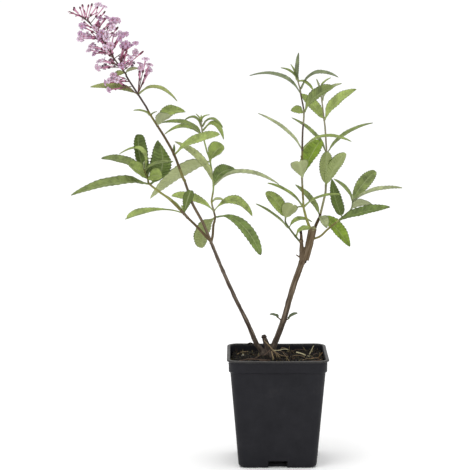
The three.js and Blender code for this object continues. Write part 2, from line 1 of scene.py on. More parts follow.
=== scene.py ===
# Young butterfly bush in a square nursery pot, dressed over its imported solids.
# Shapes are worked out in millimetres, +X right, +Y back, +Z up, and made in metres.
import math
import bmesh
import bpy
import numpy as np
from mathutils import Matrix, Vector


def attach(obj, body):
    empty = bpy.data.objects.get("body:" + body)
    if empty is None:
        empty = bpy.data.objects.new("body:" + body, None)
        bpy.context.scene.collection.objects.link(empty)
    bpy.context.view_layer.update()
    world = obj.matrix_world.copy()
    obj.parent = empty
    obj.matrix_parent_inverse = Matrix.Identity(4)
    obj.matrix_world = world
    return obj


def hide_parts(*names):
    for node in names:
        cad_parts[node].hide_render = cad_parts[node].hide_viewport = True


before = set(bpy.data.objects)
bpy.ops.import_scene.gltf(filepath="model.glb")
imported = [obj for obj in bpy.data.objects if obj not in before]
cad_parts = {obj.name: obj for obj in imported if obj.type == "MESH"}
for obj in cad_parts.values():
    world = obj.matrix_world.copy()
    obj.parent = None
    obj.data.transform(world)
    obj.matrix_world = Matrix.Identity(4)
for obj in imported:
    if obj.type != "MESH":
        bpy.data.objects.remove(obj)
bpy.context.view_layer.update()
mm = 0.001
print("frame loaded")


# Numbers and directions
def vec(*values):
    return np.array(values, float)


def unit(v):
    return v / np.linalg.norm(v)


up = vec(0, 0, 1)
front = vec(0, -1, 0)


def chance(seed):  # the same plain generator as in the part's source
    state, factor, limit = seed, 16807, 2147483647

    def draw(low, high):
        nonlocal state
        state = state * factor % limit
        return low + (high - low) * state / limit

    return draw


def reach(heading, out, rise):
    turn = math.radians(heading)
    return vec(out * math.cos(turn), out * math.sin(turn), rise)


def smoothstep(value, low, high):
    share = np.clip((value - low) / (high - low), 0, 1)
    return share * share * (3 - 2 * share)


def sideAxes(along, against):
    side = unit(np.cross(along, against))
    return side, unit(np.cross(along, side))


# Limbs: a foot and a step for each internode, smoothed through its nodes
def limb(foot, steps, thick, nodes=(), swell=1.25, flare=1.0, rooted=1, outgrown=0, tone=""):
    knots = np.vstack([foot, foot + np.cumsum(np.array(steps, float), axis=0)])
    return dict(knots=knots, thick=thick, nodes=nodes, swell=swell, flare=flare, rooted=rooted,
                outgrown=outgrown, tone=tone, count=len(steps))


def pointAt(stem, node):
    knots = stem["knots"]
    run = np.vstack([2 * knots[0] - knots[1], knots, 2 * knots[-1] - knots[-2]])
    first = max(0, min(int(node), stem["count"] - 1))
    before, start, end, after = run[first:first + 4]
    t = node - first
    leave, arrive = (end - before) / 2, (after - start) / 2
    bend = 3 * (end - start) - 2 * leave - arrive
    return start + leave * t + bend * t * t + (2 * (start - end) + leave + arrive) * t ** 3


def tangentAt(stem, node, nudge=0.01):
    low, high = max(0, node - nudge), min(stem["count"], node + nudge)
    return unit(pointAt(stem, high) - pointAt(stem, low))


def thickAt(stem, node, ring=0.05, fade=8):  # swollen at its nodes and flared at a rooted foot
    share = node / stem["count"]
    even = stem["thick"][0] + (stem["thick"][1] - stem["thick"][0]) * share
    swollen = max([math.exp(-((n - node) / ring) ** 2) for n in stem["nodes"]], default=0)
    return even * (1 + (stem["swell"] - 1) * swollen) * (1 + (stem["flare"] - 1) * math.exp(-fade * share))


# Plain meshes
def linked(name, mesh):
    piece = bpy.data.objects.new(name, mesh)
    bpy.context.collection.objects.link(piece)
    return piece


def meshPiece(name, points, faces):
    mesh = bpy.data.meshes.new(name)
    mesh.from_pydata((np.asarray(points, float) * mm).tolist(), [], faces)
    return linked(name, mesh)


def drop(pieces):  # cutters and templates that have done their work
    for piece in pieces:
        bpy.data.objects.remove(piece)


def addAttribute(mesh, name, kind, values, domain="POINT"):
    layer = mesh.attributes.new(name, kind, domain)
    field = "vector" if kind == "FLOAT_VECTOR" else "value"
    layer.data.foreach_set(field, np.asarray(values, float if kind != "INT" else int).ravel())


def pointPiece(name, rows, spot, vectors, floats=(), wholes=(), edges=()):  # bare points and their values
    mesh = bpy.data.meshes.new(name)
    mesh.from_pydata([tuple(row[spot]) for row in rows], list(edges), [])
    for kind, keys in (("FLOAT_VECTOR", vectors), ("FLOAT", floats), ("INT", wholes)):
        for key in keys:
            addAttribute(mesh, key, kind, [row[key] for row in rows])
    return linked(name, mesh)


def lathed(outline, sides):  # a ring of points for each radius and height
    return [(radius * math.cos(2 * math.pi * k / sides), radius * math.sin(2 * math.pi * k / sides), z)
            for radius, z in outline for k in range(sides)]


def loftFaces(rings, count, closeStart=True, closeEnd=True):
    faces = []
    for ring in range(rings - 1):
        for k in range(count):
            a, b = ring * count + k, ring * count + (k + 1) % count
            faces.append((a, b, b + count, a + count))
    if closeStart:
        faces.append(tuple(range(count))[::-1])
    if closeEnd:
        faces.append(tuple(range((rings - 1) * count, rings * count)))
    return faces


# Node trees
def newTree(name, inputs):
    tree = bpy.data.node_groups.new(name, "GeometryNodeTree")
    tree.interface.new_socket(name="Geometry", in_out="INPUT", socket_type="NodeSocketGeometry")
    for label, kind, value in inputs:
        socket = tree.interface.new_socket(name=label, in_out="INPUT", socket_type="NodeSocket" + kind)
        if value is not None:
            socket.default_value = value
    tree.interface.new_socket(name="Geometry", in_out="OUTPUT", socket_type="NodeSocketGeometry")
    return tree, tree.nodes.new("NodeGroupInput").outputs, tree.nodes.new("NodeGroupOutput")


def put(tree, kind, wires, output=0, **settings):
    node = tree.nodes.new(kind)
    for key, value in settings.items():
        setattr(node, key, value)
    for key, source in wires.items():
        named = [socket for socket in node.inputs if socket.name == key and socket.enabled]
        socket = named[0] if named else node.inputs[key]
        if isinstance(source, bpy.types.NodeSocket):
            tree.links.new(source, socket)
        else:
            socket.default_value = source
    return node.outputs[output]


def attribute(tree, name, kind="FLOAT"):
    node = tree.nodes.new("GeometryNodeInputNamedAttribute")
    node.data_type = kind
    node.inputs["Name"].default_value = name
    return next(socket for socket in node.outputs if socket.enabled)


def vectorMath(tree, operation, *values):
    return put(tree, "ShaderNodeVectorMath", dict(enumerate(values)), operation=operation)


def scaled(tree, vector, factor):
    return put(tree, "ShaderNodeVectorMath", {0: vector, "Scale": factor}, operation="SCALE")


def number(tree, operation, *values):
    return put(tree, "ShaderNodeMath", dict(enumerate(values)), operation=operation)


def partOf(tree, vector, axis):
    return put(tree, "ShaderNodeSeparateXYZ", {0: vector}, output=axis)


def ranged(tree, value, low, high, newLow, newHigh):
    wires = {"Value": value, "From Min": low, "From Max": high, "To Min": newLow, "To Max": newHigh}
    return put(tree, "ShaderNodeMapRange", wires)


def equals(tree, value, wanted):
    wires = {0: value, 1: float(wanted), "Epsilon": 0.25}
    return put(tree, "FunctionNodeCompare", wires, data_type="FLOAT", operation="EQUAL")


def dealFinishes(tree, geometry, code, finishes):  # one Set Material for each number in the code
    for wanted, finish in finishes.items():
        wires = {"Geometry": geometry, "Selection": equals(tree, code, wanted), "Material": finish}
        geometry = put(tree, "GeometryNodeSetMaterial", wires)
    return geometry


def dealByPart(tree, geometry, parts, finishes):  # one finish for each part in each tint
    tint, part = attribute(tree, "tint", "INT"), attribute(tree, "part", "INT")
    return dealFinishes(tree, geometry, number(tree, "MULTIPLY_ADD", tint, float(parts), part), finishes)


def placeKinds(tree, geometry, templates):  # at each point, the template of its kind
    joined = tree.nodes.new("GeometryNodeJoinGeometry")
    for kind, template in enumerate(templates):
        picked = put(tree, "GeometryNodeObjectInfo", {"Object": template}, output="Geometry")
        wires = {"Points": geometry, "Instance": picked,
                 "Selection": equals(tree, attribute(tree, "kind", "INT"), kind)}
        tree.links.new(put(tree, "GeometryNodeInstanceOnPoints", wires), joined.inputs[0])
    return put(tree, "GeometryNodeRealizeInstances", {"Geometry": joined.outputs[0]})


def settle(piece, tree, values=None, smooth=True):  # runs the tree once and keeps its plain mesh
    modifier = piece.modifiers.new("making", "NODES")
    modifier.node_group = tree
    for item in tree.interface.items_tree:
        if item.in_out == "INPUT" and values and item.name in values:
            modifier[item.identifier] = values[item.name]
    return settleModifiers(piece, smooth)


def settleModifiers(piece, smooth=True):
    bpy.context.view_layer.update()
    evaluated = piece.evaluated_get(bpy.context.evaluated_depsgraph_get())
    mesh = bpy.data.meshes.new_from_object(evaluated)
    piece.modifiers.clear()
    piece.data = mesh
    if smooth:
        mesh.shade_smooth()
    return piece


def finishPiece(piece, nodes, clear=True):
    mesh = piece.data
    spent = [a.name for a in mesh.attributes if clear and not (a.is_internal or a.is_required)]
    for layer in set(spent) - {"sharp_face", "material_index", "grain"}:
        mesh.attributes.remove(mesh.attributes[layer])
    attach(piece, "root")
    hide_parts(*nodes)
    print(piece.name, sum(len(face.vertices) - 2 for face in mesh.polygons), "triangles")


# Colours and finishes
def colour(red, green, blue):  # screen values, 0 to 255
    def linear(value):
        share = value / 255
        return share / 12.92 if share <= 0.04045 else ((share + 0.055) / 1.055) ** 2.4

    return (linear(red), linear(green), linear(blue), 1)


def newFinish(name, roughness, specular=0.5, sheen=0.0):
    finish = bpy.data.materials.new(name)
    finish.use_nodes = True
    shader = finish.node_tree.nodes["Principled BSDF"]
    shader.inputs["Roughness"].default_value = roughness
    shader.inputs["Specular IOR Level"].default_value = specular
    shader.inputs["Sheen Weight"].default_value = sheen
    return finish, finish.node_tree, shader


def placeOf(tree, stretch, grain=False):  # along the wood where it has a grain, and in space elsewhere
    if grain:
        place = put(tree, "ShaderNodeAttribute", {}, output="Vector", attribute_name="grain")
    else:
        place = put(tree, "ShaderNodeTexCoord", {}, output="Object")
    return put(tree, "ShaderNodeMapping", {"Vector": place, "Scale": stretch})


def noise(tree, vector, scale, detail=3, roughness=0.55):
    wires = {"Vector": vector, "Scale": scale, "Detail": detail, "Roughness": roughness}
    return put(tree, "ShaderNodeTexNoise", wires, output=0)


def ramp(tree, factor, stops):
    node = tree.nodes.new("ShaderNodeValToRGB")
    tree.links.new(factor, node.inputs["Fac"])
    elements = node.color_ramp.elements
    while len(elements) < len(stops):
        elements.new(0.5)
    for element, (place, tone) in zip(elements, stops):
        element.position = place
        element.color = tone
    return node.outputs["Color"]


def bump(tree, shader, height, strength, distance):
    wires = {"Height": height, "Strength": strength, "Distance": distance}
    tree.links.new(put(tree, "ShaderNodeBump", wires), shader.inputs["Normal"])


def laidOver(tree, share, base, tone):
    wires = {"Factor": share, 6: base, 7: colour(*tone)}
    return put(tree, "ShaderNodeMix", wires, output=2, data_type="RGBA")


def capital(name):
    return name[0].upper() + name[1:]


def shade(tone, factor):
    return tuple(min(255, int(c * factor)) for c in tone)


def between(first, second, share):
    return tuple(int(a + (b - a) * share) for a, b in zip(first, second))


def mottled(name, tones, scale, roughness, pores=900, relief=0.15, depth=0.0002, specular=0.5, sheen=0.0,
            low=0.3, high=0.7, grain=False):
    finish, tree, shader = newFinish(name, roughness, specular, sheen)
    place = placeOf(tree, (1, 1, 1), grain)
    stops = [(low + (high - low) * k / (len(tones) - 1), colour(*tone)) for k, tone in enumerate(tones)]
    tree.links.new(ramp(tree, noise(tree, place, scale), stops), shader.inputs["Base Color"])
    bump(tree, shader, noise(tree, place, pores, 2), relief, depth)
    return finish


# The studio: pale floor, white surroundings and soft lamps
studio = dict(
    eye=(-37.8, -1723.3, 417.3), pitch=82.93, lens=149.6, sensor=36,  # millimetres, and degrees
    near=0.05, far=500, aim=(0, 0, 0.2),  # metres
    horizon=0.64, zenith=1.34, floorTone=(252, 252, 252), floorSide=400,
    lamps=[  # name, place in metres, size and power
        ["key", (-0.9, -1.1, 1.5), 1.1, 7],
        ["fill", (1.2, -0.8, 0.7), 1.2, 1],
        ["back", (0.2, 1.3, 1.2), 1.2, 2],
    ],
)


def makeStudio():
    s = studio
    scene = bpy.context.scene
    camera = linked("camera", bpy.data.cameras.new("camera"))
    camera.location = vec(*s["eye"]) * mm
    camera.rotation_euler = (math.radians(s["pitch"]), 0, 0)
    camera.data.lens = s["lens"]
    camera.data.sensor_width = s["sensor"]
    camera.data.clip_start = s["near"]
    camera.data.clip_end = s["far"]
    scene.camera = camera
    scene.view_settings.view_transform = "Standard"
    world = bpy.data.worlds.new("studio")
    scene.world = world
    world.use_nodes = True
    sky = world.node_tree
    height = partOf(sky, put(sky, "ShaderNodeTexCoord", {}), 2)
    background = sky.nodes["Background"]
    background.inputs["Color"].default_value = (1, 1, 1, 1)
    strength = ranged(sky, height, 0, 1, s["horizon"], s["zenith"])
    sky.links.new(strength, background.inputs["Strength"])
    for name, place, size, power in s["lamps"]:
        lamp = bpy.data.lights.new(name, "AREA")
        lamp.size = size
        lamp.energy = power
        holder = linked(name, lamp)
        holder.location = place
        aim = Vector(s["aim"]) - holder.location
        holder.rotation_euler = aim.to_track_quat("-Z", "Y").to_euler()
    half = s["floorSide"] / 2 / mm
    corners = [(-half, -half, 0), (half, -half, 0), (half, half, 0), (-half, half, 0)]
    floor = meshPiece("floor", corners, [(0, 1, 2, 3)])
    finish, _, shader = newFinish("paleFloor", roughness=0.8, specular=0.2)
    shader.inputs["Base Color"].default_value = colour(*s["floorTone"])
    floor.data.materials.append(finish)


makeStudio()
print("studio made")


# The pot: a thin moulded shell with a collar, an outward lip and drainage slots
pot = dict(
    height=98, lipWidth=90, lipThick=1.6, collarWidth=86.6, collarHeight=11, bodyTop=84, bodyFoot=69,
    cornerTop=9, cornerFoot=6, wall=1.3, floorThick=2, footRound=3, slotWidth=17, slotHeight=6.5,
    slotDepth=7, perCorner=10, perSide=10, bow=0.45, bodyRings=8, crease=32,  # millimetres, counts, degrees
    wave=dict(height=0.25, alongX=0.07, startX=1.3, alongY=0.06, startY=-0.4, sag=0.25),
    tones=[(0.3, (20, 20, 25)), (0.6, (27, 27, 32)), (0.8, (37, 36, 39))], toneScale=60,
    # the lip's lighter tone and its band: dust and wear, with a painted highlight on the top edge
    lipDustAndHighlight=(76, 74, 71), dustAndHighlightFrom=0.0975, dustAndHighlightTo=0.1005, dustAndHighlightShare=0.75, dustAndHighlightWander=0.004, dustAndHighlightScale=300,
    scuffStretch=(1, 1, 0.25), scuffScale=240, smoothest=0.38, roughest=0.62,
)
collarFoot = pot["height"] - pot["collarHeight"]


def squareRing(width, corner, z, bow=0.0):
    inset = width / 2 - corner
    ring = []
    for quarter in range(4):
        turn = quarter * math.pi / 2
        ahead = vec(math.cos(turn), math.sin(turn))
        across = vec(-ahead[1], ahead[0])
        for k in range(pot["perSide"]):  # the flat side, from one corner's end to the next one's start
            share = 2 * k / pot["perSide"] - 1
            dip = bow * (1 - share * share)
            ring.append((*(ahead * (width / 2 - dip) + across * inset * share), z))
        for k in range(pot["perCorner"]):
            angle = turn + k / pot["perCorner"] * math.pi / 2
            spot = (ahead + across) * inset + corner * vec(math.cos(angle), math.sin(angle))
            ring.append((*spot, z))
    return ring


def potWidth(z):
    return pot["bodyFoot"] + (pot["bodyTop"] - pot["bodyFoot"]) * z / collarFoot


def plasticFinish():
    p = pot
    finish, tree, shader = newFinish("nurseryBlack", roughness=0.46, specular=0.18)
    place = placeOf(tree, (1, 1, 1))
    stops = [(share, colour(*tone)) for share, tone in p["tones"]]
    tones = ramp(tree, noise(tree, place, p["toneScale"], 5, 0.65), stops)
    # the top of the lip is laid over with a lighter tone, part dust and wear and part painted highlight
    level = partOf(tree, place, 2)
    wander = number(tree, "MULTIPLY", noise(tree, place, p["dustAndHighlightScale"], 4, 0.7), p["dustAndHighlightWander"])
    level = number(tree, "ADD", level, wander)
    dustAndHighlight = ranged(tree, level, p["dustAndHighlightFrom"], p["dustAndHighlightTo"], 0, p["dustAndHighlightShare"])  # dust and wear on the lip, with a painted highlight along its top edge
    tree.links.new(laidOver(tree, dustAndHighlight, tones, p["lipDustAndHighlight"]), shader.inputs["Base Color"])
    scuffs = noise(tree, placeOf(tree, p["scuffStretch"]), p["scuffScale"], 4, 0.7)
    scuffs = ranged(tree, scuffs, 0.3, 0.75, p["smoothest"], p["roughest"])
    tree.links.new(scuffs, shader.inputs["Roughness"])
    bump(tree, shader, noise(tree, place, 1400, 2), strength=0.12, distance=0.0002)
    return finish


def potSections():
    p = pot
    foot, top, lip, bow = potWidth(0), p["height"], p["lipThick"], p["bow"]
    low, high = p["cornerFoot"], p["cornerTop"]
    body, collar, rim = p["bodyTop"], p["collarWidth"], p["lipWidth"]
    sections = [
        (foot - 2 * p["footRound"], low - 1.5, 0, 0),
        (foot - 1.5, low - 0.3, 0.9, 0),
        (foot - 0.3, low, 2, 0),
    ]
    for share in np.linspace(0.03, 0.97, p["bodyRings"]):
        z = collarFoot * share
        sections.append((potWidth(z), low + 2 * share, z, bow * math.sin(math.pi * share)))
    sections += [
        (body, high - 1, collarFoot - 0.8, 0.1),
        (body + 0.5, high - 0.9, collarFoot - 0.5, 0.1),
        (collar - 0.5, high - 0.1, collarFoot - 0.1, 0.1),
        (collar, high, collarFoot + 0.4, 0.1),
        (collar + 0.3, high, top - lip - 0.8, 0.1),
        (collar + 0.9, high, top - lip - 0.3, 0.1),
        (rim - 0.5, high + 1.6, top - lip, 0),
        (rim - 0.1, high + 1.7, top - lip + 0.3, 0),
        (rim, high + 1.8, top - lip / 2, 0),
        (rim - 0.2, high + 1.7, top - 0.35, 0),
        (rim - 0.9, high + 1.5, top, 0),
    ]
    inner, high, low = 2 * p["wall"], high - p["wall"], low - p["wall"]  # and down again inside
    return sections + [
        (collar - inner + 0.9, high + 0.3, top, 0),
        (collar - inner + 0.2, high, top - 0.4, 0),
        (collar - inner, high, top - lip, 0),
        (collar - inner, high, collarFoot + 0.6, 0),
        (body - inner, p["cornerTop"] - 1 - p["wall"], collarFoot - 0.8, 0),
        (potWidth(3) - inner, low, p["floorThick"] + 1, 0),
        (foot - inner - 2, low, p["floorThick"], 0),
    ]


def slotCutters():
    cutters = []
    ends = [(s, r, z) for z in (-1, 1) for s, r in ((-1, -1), (1, -1), (1, 1), (-1, 1))]
    for quarter in range(4):
        turn = quarter * math.pi / 2
        across, ahead = vec(math.cos(turn), math.sin(turn), 0), vec(-math.sin(turn), math.cos(turn), 0)
        spots = [across * s * pot["slotWidth"] / 2 + ahead * (pot["bodyFoot"] / 2 + r * pot["slotDepth"])
                 + up * z * pot["slotHeight"] for s, r, z in ends]
        cutters.append(meshPiece("slot_cutter", spots, loftFaces(2, 4)))
    return cutters


def makePot():
    sections, wave, top = potSections(), pot["wave"], pot["height"]
    points = []
    for width, radius, z, dip in sections:  # width, corner radius, height, bow of the sides
        for x, y, level in squareRing(width, radius, z, dip):
            swing = wave["height"] * math.sin(x * wave["alongX"] + wave["startX"])
            swing *= math.cos(y * wave["alongY"] + wave["startY"])
            level = level + swing * smoothstep(z, collarFoot, top - 2) - wave["sag"] * (z > top - 3)
            points.append((x, y, level))
    piece = meshPiece("pot_shell", points, loftFaces(len(sections), len(points) // len(sections)))
    piece.data.materials.append(plasticFinish())
    cutters = slotCutters()
    for cutter in cutters:
        cut = piece.modifiers.new("slot", "BOOLEAN")
        cut.operation = "DIFFERENCE"
        cut.object = cutter
        cut.solver = "EXACT"
    settleModifiers(piece)
    drop(cutters)
    piece.data.set_sharp_from_angle(angle=math.radians(pot["crease"]))
    finishPiece(piece, ["pot"], clear=False)


makePot()
print("pot made")


# The compost: a crumbly top with bark chips, straws and a few loose roots
soil = dict(
    level=91, moundTop=94, moundRise=7, moundSpread=20, moundCentre=(-6, 7), rightBank=2, bankFrom=8,
    bankTo=38, crumb=0.5, rings=34, low=80, clear=0.3, seed=5, lumpSize=0.55, smallest=0.35,
    largest=1.6, evenness=1.6, steepest=0.3, reliefScale=420.0, reliefDepth=0.0026,
    earth=[(12, 10, 10), (22, 19, 18), (40, 34, 30)],
    scatters=dict(
        compost_crumbs=dict(
            density=0.55,  # on a square millimetre
            tones=[[(12, 11, 12), (24, 22, 22)], [(18, 16, 16), (34, 30, 28)], [(38, 33, 28), (62, 54, 44)],
                   [(14, 13, 14), (28, 26, 26)], [(13, 12, 13), (24, 22, 22)],
                   [(46, 48, 34), (70, 70, 50)]],
            lumps=[[5, (1, 0.8, 0.7), 11], [4, (1.3, 0.6, 0.4), 12]]),  # sides, shape and seed
        bark_chips=dict(
            density=0.05,
            tones=[[(58, 46, 36), (88, 72, 56)], [(34, 28, 24), (56, 46, 38)],
                   [(90, 82, 58), (128, 118, 86)],
                   [(26, 23, 22), (42, 36, 32)]],
            lumps=[[4, (3.4, 0.9, 0.35), 13], [4, (5.5, 0.35, 0.3), 14]]),
    ),
)
soilSide = potWidth(soil["level"] - 2) - 2 * (pot["wall"] + soil["clear"])


def soilHeight(x, y):
    far = math.hypot(x - soil["moundCentre"][0], y - soil["moundCentre"][1])
    mound = soil["moundRise"] * math.exp(-((far / soil["moundSpread"]) ** 2))
    bank = soil["rightBank"] * float(smoothstep(x, soil["bankFrom"], soil["bankTo"]))
    crumbs = soil["crumb"] * math.sin(x * 0.9 + y * 0.35) * math.cos(y * 0.7 - x * 0.2)
    return min(soil["moundTop"], soil["level"] + mound + bank + crumbs)


def lumpTemplate(name, sides, squash, seed):  # a small angular crumb of a few faces
    random = chance(seed)
    levels = [(0.35, -0.85), (0.9, -0.35), (1, 0.2), (0.55, 0.8)]
    points = []
    for radius, z in levels:
        for k in range(sides):
            angle = 2 * math.pi * k / sides
            r = radius * random(0.75, 1.15)
            points.append((r * math.cos(angle) * squash[0], r * math.sin(angle) * squash[1],
                           (z + random(-0.12, 0.12)) * squash[2]))
    return meshPiece(name, points, loftFaces(len(levels), sides))


def scatterTree(templates, finishes):
    inputs = [("Density", "Float", 1.0), ("Size", "Float", 1.0), ("Seed", "Int", 1)]
    tree, source, out = newTree("scatterCrumbs", inputs)
    upward = partOf(tree, put(tree, "GeometryNodeInputNormal", {}), 2)
    wires = {0: upward, 1: soil["steepest"]}
    above = put(tree, "FunctionNodeCompare", wires, data_type="FLOAT", operation="GREATER_THAN")
    wires = {"Mesh": source["Geometry"], "Density": source["Density"], "Seed": source["Seed"],
             "Selection": above}
    spots = put(tree, "GeometryNodeDistributePointsOnFaces", wires)
    kinds = tree.nodes.new("GeometryNodeJoinGeometry")
    for template in templates:
        picked = put(tree, "GeometryNodeObjectInfo", {"Object": template}, output="Geometry")
        tree.links.new(put(tree, "GeometryNodeGeometryToInstance", {0: picked}), kinds.inputs[0])
    random = "FunctionNodeRandomValue"
    wires = {0: (0, 0, 0), 1: (6.28, 6.28, 6.28), "Seed": 3}
    turn = put(tree, random, wires, data_type="FLOAT_VECTOR")
    wires = {2: soil["smallest"], 3: soil["largest"], "Seed": 4}
    size = put(tree, random, wires, output=1, data_type="FLOAT")
    grown = number(tree, "MULTIPLY", number(tree, "POWER", size, soil["evenness"]), source["Size"])
    wires = {"Points": spots, "Instance": kinds.outputs[0], "Pick Instance": True, "Rotation": turn,
             "Scale": grown}
    spread = put(tree, "GeometryNodeInstanceOnPoints", wires)
    tint = put(tree, random, {4: 0, 5: len(finishes) - 1, "Seed": 7}, output=2, data_type="INT")
    wires = {"Geometry": spread, "Name": "tint", "Value": tint}
    marked = put(tree, "GeometryNodeStoreNamedAttribute", wires, data_type="INT", domain="INSTANCE")
    real = put(tree, "GeometryNodeRealizeInstances", {"Geometry": marked})
    dressed = dealFinishes(tree, real, attribute(tree, "tint", "INT"), dict(enumerate(finishes)))
    tree.links.new(dressed, out.inputs[0])
    return tree


def compostFinish(name, tones):
    return mottled(name, tones, scale=420, roughness=0.95, pores=1300, relief=0.7, depth=0.0006,
                   specular=0.15)


def roughened(tree, geometry, place, source):
    wave = noise(tree, place, source["Scale"], 4, 0.6)
    push = number(tree, "MULTIPLY", number(tree, "SUBTRACT", wave, 0.5), source["Depth"])
    offset = scaled(tree, put(tree, "GeometryNodeInputNormal", {}), push)
    return put(tree, "GeometryNodeSetPosition", {"Geometry": geometry, "Offset": offset})


def roughenTree(name, scale, depth, finish, grain=False):  # pushes a skin in and out by noise
    tree, source, out = newTree(name, [("Scale", "Float", scale), ("Depth", "Float", depth)])
    place = attribute(tree, "grain", "FLOAT_VECTOR") if grain else put(tree, "GeometryNodeInputPosition", {})
    moved = roughened(tree, source["Geometry"], place, source)
    dressed = put(tree, "GeometryNodeSetMaterial", {"Geometry": moved, "Material": finish})
    tree.links.new(dressed, out.inputs[0])
    return tree


def makeSoil():
    corner = pot["cornerTop"] - pot["wall"]
    rings = [squareRing(soilSide - 3, corner, soil["low"]), squareRing(soilSide, corner, soil["level"] - 1.5)]
    for share in np.linspace(0.985, 0.02, soil["rings"]):
        ring = squareRing(soilSide * share, corner * share, 0)
        rings.append([(x, y, soilHeight(x, y)) for x, y, _ in ring])
    points = [point for ring in rings for point in ring]
    piece = meshPiece("compost", points, loftFaces(len(rings), len(rings[0])))
    earth = compostFinish("compost", soil["earth"])
    settle(piece, roughenTree("compostRelief", soil["reliefScale"], soil["reliefDepth"], earth))
    for order, (name, plan) in enumerate(soil["scatters"].items()):
        finishes = [compostFinish(f"{name}{k}", pair) for k, pair in enumerate(plan["tones"])]
        lumps = [lumpTemplate(f"lump_{k}", *row) for k, row in enumerate(plan["lumps"])]
        scatter = linked(name, piece.data.copy())
        values = {"Density": plan["density"] / mm / mm, "Size": soil["lumpSize"],
                  "Seed": soil["seed"] + 1 + order}
        settle(scatter, scatterTree(lumps, finishes), values, smooth=False)
        finishPiece(scatter, ["soil"])
        drop(lumps)
    finishPiece(piece, ["soil"])


makeSoil()
print("compost made")


# Bark: its grain runs along each limb
def barkFinish(name, tones, scale, relief=0.5):
    return mottled(name, tones, scale, roughness=0.85, pores=1500, relief=relief, depth=0.0003, specular=0.2,
                   grain=True)


def barkFinishes(label, tones, scale, relief):
    return {k: barkFinish(label + capital(name), tones[name], scale, relief) for k, name in enumerate(tones)}


def overlay(finish, axis, low, high, share, tone):  # lays another tone over it, growing along an axis
    tree = finish.node_tree
    base = tree.nodes["Principled BSDF"].inputs["Base Color"]
    grown = ranged(tree, partOf(tree, placeOf(tree, (1, 1, 1)), axis), low, high, 0, share)
    tree.links.new(laidOver(tree, grown, base.links[0].from_socket, tone), base)


grainPull = 0.09  # how far the grain is drawn out along the limb
grainApart = 7.7  # how far each limb's grain starts from the last one's
barkTones = [(48, 40, 36), (75, 65, 57), (99, 88, 77), (132, 119, 104)]
youngTones = dict(
    brown=[(72, 60, 40), (92, 78, 54), (114, 98, 72)],
    redBrown=[(56, 42, 28), (74, 58, 40), (96, 80, 58)],
    olive=[(92, 86, 46), (114, 108, 62), (134, 128, 80)],
    darkBrown=[(84, 70, 54), (102, 88, 70), (122, 108, 88)],
    dusk=[(58, 48, 44), (74, 62, 58), (92, 80, 74)],
    green=[(118, 132, 76), (140, 154, 94), (158, 170, 112)],
    yellowGreen=[(118, 118, 60), (136, 136, 76), (152, 152, 96)],
    plum=[(66, 54, 48), (84, 72, 62), (104, 92, 78)],
    greyBrown=[(112, 106, 84), (130, 126, 100), (148, 144, 118)],
    sage=[(72, 80, 48), (90, 98, 62), (108, 116, 78)],
    sand=[(118, 116, 82), (136, 134, 98), (152, 150, 118)],
    char=[(44, 36, 32), (62, 53, 46)],
)


def strandTree(name, finishes, sides, scale, depth):
    inputs = [("Sides", "Int", sides), ("Scale", "Float", scale), ("Depth", "Float", depth)]
    tree, source, out = newTree(name, inputs)
    path = put(tree, "GeometryNodeMeshToCurve", {"Mesh": source["Geometry"]})
    outline = put(tree, "GeometryNodeCurvePrimitiveCircle", {"Resolution": source["Sides"], "Radius": 1.0})
    wires = {"Curve": path, "Profile Curve": outline, "Scale": attribute(tree, "thickness"),
             "Fill Caps": True}
    skin = put(tree, "GeometryNodeCurveToMesh", wires)
    spot = put(tree, "GeometryNodeInputPosition", {})
    away = vectorMath(tree, "SUBTRACT", spot, attribute(tree, "core", "FLOAT_VECTOR"))
    local = {2: attribute(tree, "run")}
    for axis, key in enumerate(("sideways", "over")):
        wires = {0: away, 1: attribute(tree, key, "FLOAT_VECTOR")}
        local[axis] = put(tree, "ShaderNodeVectorMath", wires, output=1, operation="DOT_PRODUCT")
    grain = put(tree, "ShaderNodeCombineXYZ", local)
    wires = {"Geometry": skin, "Name": "grain", "Value": grain}
    skin = put(tree, "GeometryNodeStoreNamedAttribute", wires, data_type="FLOAT_VECTOR", domain="POINT")
    moved = roughened(tree, skin, attribute(tree, "grain", "FLOAT_VECTOR"), source)
    tree.links.new(dealFinishes(tree, moved, attribute(tree, "tint"), finishes), out.inputs[0])
    return tree


def samplesOf(strands, step):  # places along each limb, with the frame and the run of its grain
    rows = []
    for order, (stem, tint, rooted, outgrown, *span) in enumerate(strands):
        low, high = span or (0, stem["count"])
        length = sum(np.linalg.norm(np.diff(stem["knots"], axis=0), axis=1)) * (high - low) / stem["count"]
        count = max(3, int(length / step))
        for k in range(count + 1):
            node = low + (high - low) * k / count
            along = tangentAt(stem, node)
            shift = -rooted if k == 0 else (outgrown if k == count else 0)
            side, over = sideAxes(along, front)
            rows.append(dict(core=pointAt(stem, node) + along * shift, sideways=side, over=over,
                             run=(length * k / count * grainPull + grainApart * order) * mm,
                             thickness=thickAt(stem, node) / 2 * mm, tint=float(tint), first=k == 0))
    return rows


def strandPaths(name, strands, step=1.0):  # strands: limb, tint, and how far it is rooted and outgrown
    rows = [dict(row, core=row["core"] * mm) for row in samplesOf(strands, step)]
    edges = [(k - 1, k) for k, row in enumerate(rows) if not row["first"]]
    return pointPiece(name, rows, "core", ("core", "sideways", "over"), ("thickness", "tint", "run"),
                      edges=edges)


